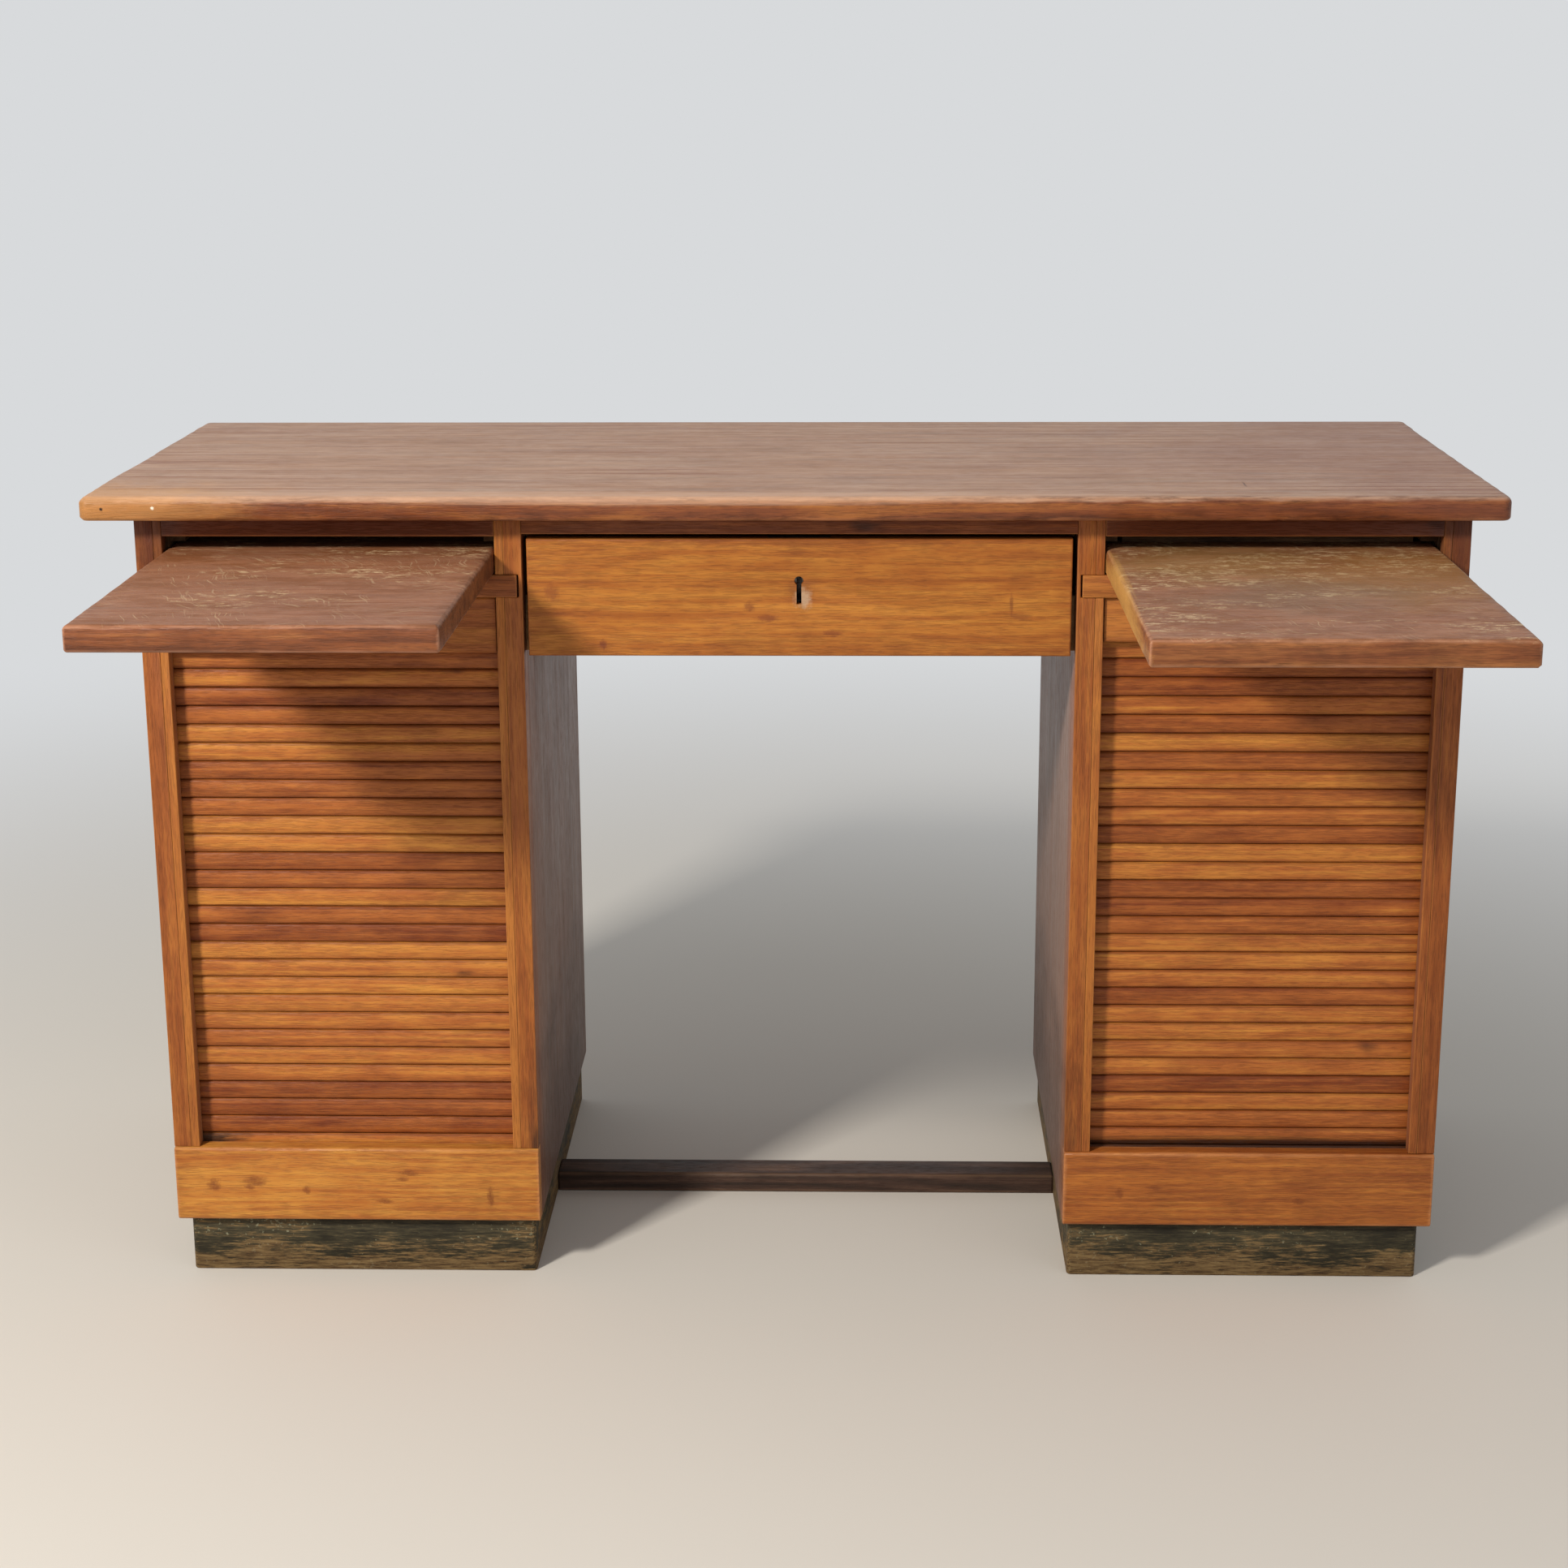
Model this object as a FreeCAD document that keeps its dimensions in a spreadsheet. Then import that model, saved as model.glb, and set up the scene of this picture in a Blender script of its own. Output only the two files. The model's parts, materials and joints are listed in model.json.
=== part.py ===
"""A tambour desk: two pedestals with roll-down slatted curtains, a pull-out slide over each
pedestal, a locking centre drawer, and one long top.

Millimetres. X runs along the front, Y from the front to the back, Z up. The origin is on the
floor, midway between the pedestals and in the middle of the desk's depth with its slides drawn
out as it stands. The top isn't quite centred on the pedestals: it lies a little to the left.
"""

import FreeCAD, Part
import Sketcher
import os
from FreeCAD import Placement, Rotation, Vector

doc = FreeCAD.newDocument("tambour_desk")

# ---------------------------------------------------------------------------------------------
# Driving dimensions, one cell each
# ---------------------------------------------------------------------------------------------

SIZES = [
    # the whole desk
    ("desk_width", 1300),
    ("desk_depth", 515),
    ("desk_height", 780),
    # top
    ("top_thick", 22),
    ("side_overhang", 36),
    ("front_overhang", 30),
    ("back_overhang", 14),
    ("top_corner", 9),
    ("top_shift", 7),
    ("top_nosing", 6),
    ("under_nosing", 3),
    # pedestal carcase
    ("pedestal_width", 358),
    ("panel_thick", 17),
    ("strip_width", 8),
    ("strip_depth", 15),
    ("channel_width", 12),
    ("turn_radius", 32),
    ("back_panel_thick", 10),
    ("back_rebate", 8),
    ("false_back_thick", 8),
    ("floor_thick", 12),
    ("bottom_thick", 14),
    ("shelf_height", 270),
    ("shelf_setback", 6),
    ("housing_depth", 4),
    ("housing_stop", 12),
    # base
    ("plinth_height", 58),
    ("plinth_thick", 16),
    ("plinth_front_inset", 9),
    ("plinth_outer_inset", 10),
    ("plinth_inner_inset", 6),
    ("plinth_round", 5),
    ("base_height", 76),
    ("base_proud", 3),
    ("base_round", 4),
    # slides and the rails above and below them
    ("top_rail_height", 19),
    ("top_rail_depth", 34),
    ("slide_opening", 36),
    ("slide_rail_height", 21),
    ("slide_rail_proud", 1.5),
    ("slide_rail_lap", 5),
    ("slide_rail_gap", 1.5),
    ("bearer_thick", 12),
    ("slide_length", 452),
    ("slide_thick", 23),
    ("slide_side_gap", 1),
    ("slide_play", 2.5),
    ("slide_round", 3),
    ("slide_stop_depth", 18),
    ("slide_stop_height", 20),
    ("kicker_width", 14),
    ("kicker_gap", 5),
    ("kicker_screw_inset", 40),
    ("left_slide_out", 340),
    ("right_slide_out", 390),
    # tambour curtains
    ("left_lead_height", 53.5),
    ("right_lead_height", 42.5),
    ("lead_recess", 4),
    ("lead_play", 0.5),
    ("lead_round", 3),
    ("curtain_play", 1),
    ("grip_width", 96),
    ("grip_height", 18),
    ("grip_depth", 8),
    ("grip_end_flat", 0.5),
    ("slat_pitch", 18),
    ("slat_gap", 0.6),
    ("slat_thick", 10),
    ("slat_bevel", 2),
    ("canvas_thick", 0.8),
    ("canvas_inset", 4),
    # centre drawer
    ("drawer_rail_height", 17),
    ("drawer_rail_depth", 40),
    ("drawer_top_gap", 4.5),
    ("drawer_side_gap", 4.5),
    ("drawer_front_height", 110),
    ("drawer_front_thick", 20),
    ("drawer_side_thick", 12),
    ("drawer_side_lift", 13.5),
    ("drawer_side_drop", 6),
    ("drawer_bottom_thick", 6),
    ("drawer_bottom_lift", 8),
    ("groove_depth", 5),
    ("drawer_end_gap", 5),
    ("drawer_round", 2),
    ("lap_thick", 6),
    ("tail_narrow", 14),
    ("tail_wide", 20),
    ("tail_count", 3),
    ("runner_width", 20),
    ("runner_guide_height", 40),
    ("runner_gap", 0.5),
    ("runner_lift", 1),
    ("drawer_kicker_gap", 1),
    ("apron_thick", 18),
    ("apron_height", 132),
    # tenons of the kneehole's rails
    ("tenon_length", 9),
    ("tenon_thick", 9),
    ("tenon_room", 1),
    ("tenon_shoulder", 4),
    ("apron_shoulder", 20),
    # drawer lock
    ("lock_width", 58),
    ("lock_height", 66),
    ("lock_depth", 11),
    ("lock_wall", 2),
    ("bolt_width", 24),
    ("bolt_thick", 6),
    ("bolt_height", 16),
    ("bolt_play", 0.3),
    ("mortise_play", 2),
    ("bolt_throw", 9),
    ("keyhole_drop", 39),
    ("keyhole_round", 4.2),
    ("keyhole_slot", 4.6),
    ("keyhole_length", 22),
    # foot rail between the pedestals
    ("foot_rail_height", 21),
    ("foot_rail_depth", 40),
    ("foot_rail_back", 207),
    ("foot_rail_round", 4),
    ("foot_tenon_length", 8),
    # wood screws that hold the top down
    ("screw_radius", 2),
    ("screw_head", 4),
    ("screw_length", 32),
    ("screw_point", 9),
    ("screw_play", 0.15),
    ("pilot_room", 1),
]

# Lines and levels that follow from the sizes. Distances called *_x are measured outwards from
# the desk's middle, so that they serve the left pedestal and the right one alike.
LINES = [
    ("most_out", "max(Size.left_slide_out; Size.right_slide_out)"),
    ("top_front_y", "-(Size.desk_depth + Size.front_overhang - Plan.most_out) / 2"),
    ("face_y", "Plan.top_front_y + Size.front_overhang"),
    ("back_y", "Plan.top_front_y + Size.desk_depth - Size.back_overhang"),
    ("outer_x", "Size.desk_width / 2 - Size.side_overhang"),
    ("inner_x", "Plan.outer_x - Size.pedestal_width"),
    ("middle_x", "(Plan.outer_x + Plan.inner_x) / 2"),
    ("bay_low_x", "Plan.inner_x + Size.panel_thick"),
    ("bay_high_x", "Plan.outer_x - Size.panel_thick"),
    ("clear_low_x", "Plan.bay_low_x + Size.strip_width"),
    ("clear_high_x", "Plan.bay_high_x - Size.strip_width"),
    ("strip_back_y", "Plan.face_y + Size.strip_depth"),
    ("liner_front_y", "Plan.strip_back_y + Size.channel_width"),
    ("back_panel_y", "Plan.back_y - Size.back_panel_thick"),
    ("liner_back_y", "Plan.back_panel_y - Size.channel_width"),
    ("false_back_y", "Plan.liner_back_y - Size.false_back_thick"),
    ("top_under", "Size.desk_height - Size.top_thick"),
    ("base_top", "Size.plinth_height + Size.base_height"),
    ("bottom_top", "Size.plinth_height + Size.bottom_thick"),
    ("liner_bottom", "Plan.bottom_top + Size.channel_width"),
    ("turn_top", "Plan.liner_bottom + Size.turn_radius"),
    ("floor_under", "Plan.base_top - Size.floor_thick"),
    ("shelf_under", "Plan.base_top + Size.shelf_height"),
    ("slide_under", "Plan.top_under - Size.top_rail_height - Size.slide_opening"),
    ("slide_rail_under", "Plan.slide_under - Size.slide_rail_height"),
    ("bearer_under", "Plan.slide_under - Size.bearer_thick"),
    ("slide_top", "Plan.slide_under + Size.slide_thick"),
    ("top_rail_under", "Plan.top_under - Size.top_rail_height"),
    ("kicker_under", "Plan.slide_top + Size.slide_play"),
    ("drawer_rail_under", "Plan.top_under - Size.drawer_rail_height"),
    ("drawer_top", "Plan.drawer_rail_under - Size.drawer_top_gap"),
    ("drawer_under", "Plan.drawer_top - Size.drawer_front_height"),
    ("drawer_half", "Plan.inner_x - Size.drawer_side_gap"),
    ("drawer_front_back_y", "Plan.face_y + Size.drawer_front_thick"),
    ("apron_y", "Plan.back_y - Size.apron_thick"),
    ("apron_under", "Plan.top_under - Size.apron_height"),
    ("drawer_back_y", "Plan.apron_y - Size.drawer_end_gap"),
    ("drawer_back_front_y", "Plan.drawer_back_y - Size.drawer_side_thick"),
    ("side_under", "Plan.drawer_under + Size.drawer_side_lift"),
    ("side_top", "Plan.drawer_top - Size.drawer_side_drop"),
    ("drawer_floor", "Plan.side_under + Size.drawer_bottom_lift"),
    ("drawer_floor_top", "Plan.drawer_floor + Size.drawer_bottom_thick"),
    ("lock_y", "Plan.drawer_front_back_y - Size.lock_depth"),
    ("bolt_y", "Plan.lock_y + (Size.lock_depth - Size.bolt_thick) / 2"),
    ("bolt_back_y", "Plan.bolt_y + Size.bolt_thick"),
    ("keyhole_z", "Plan.drawer_top - Size.keyhole_drop"),
    ("kicker_screw_y", "Plan.back_panel_y - Size.kicker_screw_inset"),
    ("foot_rail_y", "Plan.face_y + Size.foot_rail_back"),
    ("foot_rail_back_y", "Plan.foot_rail_y + Size.foot_rail_depth"),
]


def fill_sheet(name, rows, text):
    """A sheet with an alias in column A and its value or formula in column B of each row."""
    sheet = doc.addObject("Spreadsheet::Sheet", name)
    for row, (alias, value) in enumerate(rows, start=1):
        sheet.set(f"A{row}", alias)
        sheet.set(f"B{row}", text.format(value))
        sheet.setAlias(f"B{row}", alias)
    return sheet


size = fill_sheet("Size", SIZES, "{}")
plan = fill_sheet("Plan", LINES, "={}")
doc.recompute()


def value(expression):
    """The number that an expression on the two sheets stands for."""
    result = size.evalExpression(str(expression))
    return float(getattr(result, "Value", result))


# ---------------------------------------------------------------------------------------------
# Small makers
# ---------------------------------------------------------------------------------------------

SIDES = ("left", "right")
AXES = ("x", "y", "z")
NEAR = 1e-4
nodes = []


def keep(piece):
    """Marks a finished piece as one of the desk's sub-parts."""
    nodes.append(piece)
    return piece


def across(side, near, far):
    """The X limits of a piece between two distances from the desk's middle."""
    if side == "left":
        return f"-({far})", f"-({near})"
    return near, far


def put_at(piece, place):
    """Ties a piece's place to three expressions."""
    for axis, at in zip(AXES, place):
        piece.setExpression(f"Placement.Base.{axis}", at)
    return piece


def board(label, x, y, z):
    """A square-edged board between a low and a high line on each axis."""
    box = doc.addObject("Part::Box", label)
    for edge, (low, high) in zip(("Length", "Width", "Height"), (x, y, z)):
        box.setExpression(edge, f"({high}) - ({low})")
    return put_at(box, (x[0], y[0], z[0]))


def cylinder(label, radius, height, place):
    """An upright cylinder whose lower face is centred on a place."""
    tool = doc.addObject("Part::Cylinder", label)
    tool.setExpression("Radius", radius)
    tool.setExpression("Height", height)
    return put_at(tool, place)


def cone(label, low_radius, high_radius, height, place):
    """An upright cone whose lower face is centred on a place."""
    tool = doc.addObject("Part::Cone", label)
    tool.setExpression("Radius1", low_radius)
    tool.setExpression("Radius2", high_radius)
    tool.setExpression("Height", height)
    return put_at(tool, place)


def cut_away(label, blank, tools):
    """The blank less all the tools."""
    piece = blank
    for number, tool in enumerate(tools, start=1):
        last = number == len(tools)
        cut = doc.addObject("Part::Cut", label if last else f"{label}_cut{number}")
        cut.Base = piece
        cut.Tool = tool
        cut.Refine = True
        piece = cut
    return piece


def joined(label, pieces):
    """Boards glued into one solid, or kept side by side where they don't touch."""
    fuse = doc.addObject("Part::MultiFuse", label)
    fuse.Shapes = pieces
    fuse.Refine = True
    return fuse


def grouped(label, pieces):
    """Pieces that stay solids of their own, kept together as one sub-part."""
    group = doc.addObject("Part::Compound", label)
    group.Links = pieces
    return group


def edges_at(shape, axis, **places):
    """Names of the straight edges that run along an axis and lie at the places given."""
    found = []
    for number, edge in enumerate(shape.Edges, start=1):
        ends = [vertex.Point for vertex in edge.Vertexes]
        if len(ends) != 2:
            continue
        run = ends[1] - ends[0]
        if run.Length - abs(getattr(run, axis)) > NEAR:
            continue
        if all(abs(getattr(ends[0], name) - value(at)) < NEAR for name, at in places.items()):
            found.append(f"Edge{number}")
    return found


def rounded(label, blank, radius, edges):
    """The blank with the named edges rounded; edges is a list of (axis, places)."""
    doc.recompute()
    names = [name for axis, places in edges for name in edges_at(blank.Shape, axis, **places)]
    fillet = doc.addObject("Part::Fillet", label)
    fillet.Base = blank
    fillet.Edges = [(int(name[4:]), value(radius), value(radius)) for name in names]
    return fillet


def new_body(label, x="0", y="0", z="0"):
    """An empty PartDesign body, placed by three expressions."""
    body = doc.addObject("PartDesign::Body", label)
    body.AllowCompound = True
    return put_at(body, (x, y, z))


def new_sketch(body, role, name):
    """A sketch on one of the body's own origin planes."""
    sketch = body.newObject("Sketcher::SketchObject", f"{body.Name}_{name}")
    plane = [item for item in body.Origin.OriginFeatures if item.Role == role][0]
    sketch.AttachmentSupport = (plane, [""])
    sketch.MapMode = "FlatFace"
    return sketch


def pin_point(sketch, geometry, end, name, across_expr, up_expr):
    """Ties one point of a sketch to two expressions."""
    for kind, letter, expression in (("DistanceX", "x", across_expr), ("DistanceY", "y", up_expr)):
        pin = Sketcher.Constraint(kind, -1, 1, geometry, end, value(expression))
        index = sketch.addConstraint(pin)
        sketch.renameConstraint(index, f"{letter}{name}")
        sketch.setExpression(f"Constraints.{letter}{name}", expression)


def draw_outline(sketch, corners):
    """A closed outline of straight lines through corners given as pairs of expressions."""
    points = [Vector(value(u), value(v), 0) for u, v in corners]
    first = sketch.GeometryCount
    count = len(points)
    for number in range(count):
        sketch.addGeometry(Part.LineSegment(points[number], points[(number + 1) % count]), False)
    for number in range(count):
        following = first + (number + 1) % count
        sketch.addConstraint(Sketcher.Constraint("Coincident", first + number, 2, following, 1))
    for number, (u, v) in enumerate(corners):
        pin_point(sketch, first + number, 1, first + number, u, v)


def draw_circle(sketch, u, v, radius):
    """A circle whose centre and radius are expressions."""
    centre = Vector(value(u), value(v), 0)
    circle = Part.Circle(centre, Vector(0, 0, 1), value(radius))
    index = sketch.addGeometry(circle, False)
    pin_point(sketch, index, 3, index, u, v)
    size_pin = sketch.addConstraint(Sketcher.Constraint("Radius", index, value(radius)))
    sketch.renameConstraint(size_pin, f"r{index}")
    sketch.setExpression(f"Constraints.r{index}", radius)


def rectangle(u_low, u_high, v_low, v_high):
    """The four corners of a rectangle, for draw_outline."""
    return [(u_low, v_low), (u_high, v_low), (u_high, v_high), (u_low, v_high)]


def pad(body, sketch, length, name="pad", reverse=False, midplane=False):
    """A solid raised from a sketch."""
    feature = body.newObject("PartDesign::Pad", f"{body.Name}_{name}")
    feature.Profile = sketch
    feature.Reversed = reverse
    feature.Midplane = midplane
    feature.setExpression("Length", length)
    doc.recompute()
    return feature


def pocket(body, sketch, length, name, reverse=False, midplane=False):
    """A recess cut from a sketch; it has to take some material away."""
    before = body.Shape.Volume
    feature = body.newObject("PartDesign::Pocket", f"{body.Name}_{name}")
    feature.Profile = sketch
    feature.Reversed = reverse
    feature.Midplane = midplane
    feature.setExpression("Length", length)
    doc.recompute()
    if not body.Shape.Volume < before:
        raise ValueError(f"{feature.Name} cuts nothing")
    return feature


def ease_edges(body, kind, amount, edges, name):
    """Takes off straight edges of the body as it is so far, with a Fillet or a Chamfer."""
    doc.recompute()
    tip = body.Tip
    names = [item for axis, places in edges for item in edges_at(tip.Shape, axis, **places)]
    feature = body.newObject(f"PartDesign::{kind}", f"{body.Name}_{name}")
    feature.Base = (tip, names)
    feature.setExpression("Radius" if kind == "Fillet" else "Size", amount)
    doc.recompute()
    return feature


def round_over(body, radius, edges, name):
    """Rounds straight edges of the body as it is so far."""
    return ease_edges(body, "Fillet", radius, edges, name)


# ---------------------------------------------------------------------------------------------
# Top
# ---------------------------------------------------------------------------------------------


def screw_places(side):
    """The screws that hold the top to one pedestal: the place of each one's head."""
    inner_x = "Plan.clear_low_x + Size.kicker_width / 2"
    outer_x = "Plan.clear_high_x - Size.kicker_width / 2"
    rail_y = "Plan.face_y + Size.top_rail_depth / 2"
    places = {
        "top_rail": ("Plan.middle_x", rail_y),
        "inner_kicker": (inner_x, "Plan.kicker_screw_y"),
        "outer_kicker": (outer_x, "Plan.kicker_screw_y"),
    }
    level = "Plan.top_rail_under"
    return {name: (across(side, x, x)[0], y, level) for name, (x, y) in places.items()}


def desk_top():
    """One long board with rounded corners and a rounded edge all round."""
    left_x = "-Size.desk_width / 2 - Size.top_shift"
    right_x = "Size.desk_width / 2 - Size.top_shift"
    body = new_body("desk_top", y="Plan.top_front_y", z="Plan.top_under")
    sketch = new_sketch(body, "XY_Plane", "outline")
    draw_outline(sketch, rectangle(left_x, right_x, "0", "Size.desk_depth"))
    pad(body, sketch, "Size.top_thick")
    corners = [("z", dict(x=x, y=y)) for x in (left_x, right_x) for y in ("0", "Size.desk_depth")]
    round_over(body, "Size.top_corner", corners, "corners")
    ring = ("x", {"y": "0", "z": "Size.top_thick"})
    round_over(body, "Size.top_nosing", [ring], "nosing")
    round_over(body, "Size.under_nosing", [("x", {"y": "0", "z": "0"})], "under_nosing")
    holes = new_sketch(body, "XY_Plane", "screw_holes")
    for side in SIDES:
        for x, y, _ in screw_places(side).values():
            draw_circle(holes, x, f"{y} - Plan.top_front_y", "Size.screw_radius + Size.screw_play")
    deep = "Size.screw_length - Size.top_rail_height + Size.pilot_room"
    pocket(body, holes, deep, "screw_pocket", reverse=True)
    return keep(body)


def wood_screw(label, place):
    """A countersunk wood screw that points up, its head's face at a place."""
    x, y, z = place
    point_z = f"{z} + Size.screw_length - Size.screw_point"
    sink = "Size.screw_head - Size.screw_radius"
    head = cone(f"{label}_head", "Size.screw_head", "Size.screw_radius", sink, place)
    shank_length = "Size.screw_length - Size.screw_point"
    shank = cylinder(f"{label}_shank", "Size.screw_radius", shank_length, place)
    point = cone(f"{label}_point", "Size.screw_radius", "0", "Size.screw_point", (x, y, point_z))
    return joined(label, [head, shank, point])


def top_screws():
    """All the screws that hold the top, each a solid of its own."""
    screws = [
        wood_screw(f"{side}_{name}_screw", place)
        for side in SIDES
        for name, place in screw_places(side).items()
    ]
    return keep(grouped("top_screws", screws))


def screw_hole(label, place):
    """The cutters of a clearance hole with a countersink for a screw's head."""
    wide, narrow = "Size.screw_head + Size.screw_play", "Size.screw_radius + Size.screw_play"
    bore = cylinder(f"{label}_bore", narrow, "Size.screw_length", place)
    sink = cone(f"{label}_sink", wide, narrow, "Size.screw_head - Size.screw_radius", place)
    return [bore, sink]


# ---------------------------------------------------------------------------------------------
# Pedestals: side panels, curtain tracks, floors and backs
# ---------------------------------------------------------------------------------------------


def side_panel(side, which):
    """A side panel, notched for the base board, rebated at the back and housed for the rail."""
    label = f"{side}_{which}_panel"
    inner = which == "inner"
    near, far = ("Plan.inner_x", "Plan.bay_low_x") if inner else ("Plan.bay_high_x", "Plan.outer_x")
    blank = board(
        f"{label}_blank",
        across(side, near, far),
        ("Plan.face_y", "Plan.back_y"),
        ("Size.plinth_height", "Plan.top_under"),
    )
    notch = board(
        f"{label}_base_notch",
        across(side, near, far),
        ("Plan.face_y", "Plan.strip_back_y"),
        ("Size.plinth_height", "Plan.base_top"),
    )
    lap = "(Size.slide_rail_lap - Size.slide_rail_gap)"
    if inner:
        rebate_x = across(side, f"{far} - Size.back_rebate", far)
        lap_x = across(side, f"{near} + {lap}", far)
    else:
        rebate_x = across(side, near, f"{near} + Size.back_rebate")
        lap_x = across(side, near, f"{far} - {lap}")
    rebate = board(
        f"{label}_rebate",
        rebate_x,
        ("Plan.back_panel_y", "Plan.back_y"),
        ("Size.plinth_height", "Plan.top_under"),
    )
    housing = board(
        f"{label}_housing",
        lap_x,
        ("Plan.face_y", "Plan.strip_back_y"),
        ("Plan.slide_rail_under", "Plan.slide_under"),
    )
    tools = [notch, rebate, housing]
    if inner:
        tools += [mortise(f"{label}_{name}", side, *place) for name, place in kneehole_tenons().items()]
    return keep(cut_away(label, blank, tools))


def kneehole_tenons():
    """The Y and Z limits of the tenons that join the kneehole's rails to the inner panels.
    The apron's is barefaced: it is flush with the apron's front, clear of the back panel."""
    rail_y = "Plan.face_y + (Size.drawer_rail_depth - Size.tenon_thick) / 2"
    return {
        "drawer_rail": (
            (rail_y, f"{rail_y} + Size.tenon_thick"),
            ("Plan.drawer_rail_under + Size.tenon_shoulder", "Plan.top_under - Size.tenon_shoulder"),
        ),
        "back_apron": (
            ("Plan.apron_y", "Plan.back_panel_y - Size.tenon_room"),
            ("Plan.apron_under + Size.apron_shoulder", "Plan.top_under - Size.apron_shoulder"),
        ),
    }


def mortise(label, side, y, z):
    """The cutter of a stopped mortise in an inner panel."""
    deep = "Plan.inner_x + Size.tenon_length + Size.tenon_room"
    return board(f"{label}_mortise", across(side, "Plan.inner_x", deep), y, z)


def tenoned(label, blank, y, z):
    """A rail between the inner panels, with a tenon on each end."""
    end = "(Plan.inner_x + Size.tenon_length)"
    return joined(label, [blank, board(f"{label}_tenons", (f"-{end}", end), y, z)])


def guide_strips(side):
    """The strips beside the opening that keep the curtain in; the slide rail parts them."""
    strips = []
    for which, near, far in (
        ("inner", "Plan.bay_low_x", "Plan.clear_low_x"),
        ("outer", "Plan.clear_high_x", "Plan.bay_high_x"),
    ):
        for part, low, high in (
            ("lower", "Plan.base_top", "Plan.slide_rail_under"),
            ("upper", "Plan.slide_under", "Plan.top_under"),
        ):
            strips.append(
                board(
                    f"{side}_{which}_{part}_strip",
                    across(side, near, far),
                    ("Plan.face_y", "Plan.strip_back_y"),
                    (low, high),
                )
            )
    return keep(joined(f"{side}_guide_strips", strips))


def liner(side, which):
    """The inner lining. The slats run round its edge, so its lower corners are well rounded,
    and stopped housings in it carry the floor, the shelf and the slide's bearer."""
    inner = which == "inner"
    near = "Plan.bay_low_x" if inner else "Plan.clear_high_x"
    far = "Plan.clear_low_x" if inner else "Plan.bay_high_x"
    x_low = across(side, near, far)[0]
    body = new_body(f"{side}_{which}_liner", x=x_low)
    outline = new_sketch(body, "YZ_Plane", "outline")
    draw_outline(
        outline,
        rectangle("Plan.liner_front_y", "Plan.liner_back_y", "Plan.liner_bottom", "Plan.top_under"),
    )
    pad(body, outline, "Size.strip_width")
    turns = [
        ("x", {"y": "Plan.liner_front_y", "z": "Plan.liner_bottom"}),
        ("x", {"y": "Plan.liner_back_y", "z": "Plan.liner_bottom"}),
    ]
    round_over(body, "Size.turn_radius", turns, "turns")
    housings = new_sketch(body, "YZ_Plane", "housings")
    stop = "Plan.liner_front_y + Size.housing_stop"
    for low, high in (
        ("Plan.floor_under", "Plan.base_top"),
        ("Plan.shelf_under", "Plan.shelf_under + Size.floor_thick"),
        ("Plan.bearer_under", "Plan.slide_under"),
    ):
        draw_outline(housings, rectangle(stop, "Plan.false_back_y", low, high))
    # the housings are on the face that looks into the pedestal
    towards_high_x = (side == "right") == inner
    if towards_high_x:
        housings.setExpression("AttachmentOffset.Base.z", "Size.strip_width - Size.housing_depth")
    pocket(body, housings, "Size.housing_depth", "housing_pocket", reverse=True)
    return keep(body)


def housed_board(label, side, front_y, back_y, low, high):
    """A board housed in both liners, with its front corners notched past the housings' stop."""
    stop = "Plan.liner_front_y + Size.housing_stop"
    front = board(
        f"{label}_front",
        across(side, "Plan.clear_low_x", "Plan.clear_high_x"),
        (front_y, stop),
        (low, high),
    )
    main = board(
        f"{label}_main",
        across(
            side,
            "Plan.clear_low_x - Size.housing_depth",
            "Plan.clear_high_x + Size.housing_depth",
        ),
        (stop, back_y),
        (low, high),
    )
    return keep(joined(label, [front, main]))


def turn_block(side, which, end):
    """A block with a hollow quarter round, in the corner where the curtain turns."""
    near = "Plan.bay_low_x" if which == "inner" else "Plan.clear_high_x"
    far = "Plan.clear_low_x" if which == "inner" else "Plan.bay_high_x"
    radius = "(Size.turn_radius + Size.channel_width)"
    front = end == "front"
    wall = "Plan.strip_back_y" if front else "Plan.back_panel_y"
    centre_y = f"{wall} + {radius}" if front else f"{wall} - {radius}"
    y_limits = (wall, centre_y) if front else (centre_y, wall)
    label = f"{side}_{which}_{end}_turn"
    blank = board(
        f"{label}_blank",
        across(side, near, far),
        y_limits,
        ("Plan.bottom_top", f"Plan.bottom_top + {radius}"),
    )
    hollow = doc.addObject("Part::Cylinder", f"{label}_hollow")
    hollow.setExpression("Radius", radius)
    hollow.setExpression("Height", "Size.strip_width")
    hollow.Placement = Placement(Vector(0, 0, 0), Rotation(Vector(0, 1, 0), 90))
    hollow.setExpression("Placement.Base.x", across(side, near, far)[0])
    hollow.setExpression("Placement.Base.y", centre_y)
    hollow.setExpression("Placement.Base.z", f"Plan.bottom_top + {radius}")
    return cut_away(label, blank, [hollow])


def turn_blocks(side):
    """The four turn blocks of one pedestal."""
    blocks = [
        turn_block(side, which, end) for which in ("inner", "outer") for end in ("front", "back")
    ]
    return keep(joined(f"{side}_turn_blocks", blocks))


def pedestal_backs(side):
    """The back panel in its rebates, and the false back that the open curtain hides behind."""
    rebate = "(Size.panel_thick - Size.back_rebate)"
    keep(
        board(
            f"{side}_back_panel",
            across(side, f"Plan.inner_x + {rebate}", f"Plan.outer_x - {rebate}"),
            ("Plan.back_panel_y", "Plan.back_y"),
            ("Size.plinth_height", "Plan.top_under"),
        )
    )
    keep(
        board(
            f"{side}_false_back",
            across(side, "Plan.clear_low_x", "Plan.clear_high_x"),
            ("Plan.false_back_y", "Plan.liner_back_y"),
            ("Plan.floor_under", "Plan.bearer_under"),
        )
    )


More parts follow.
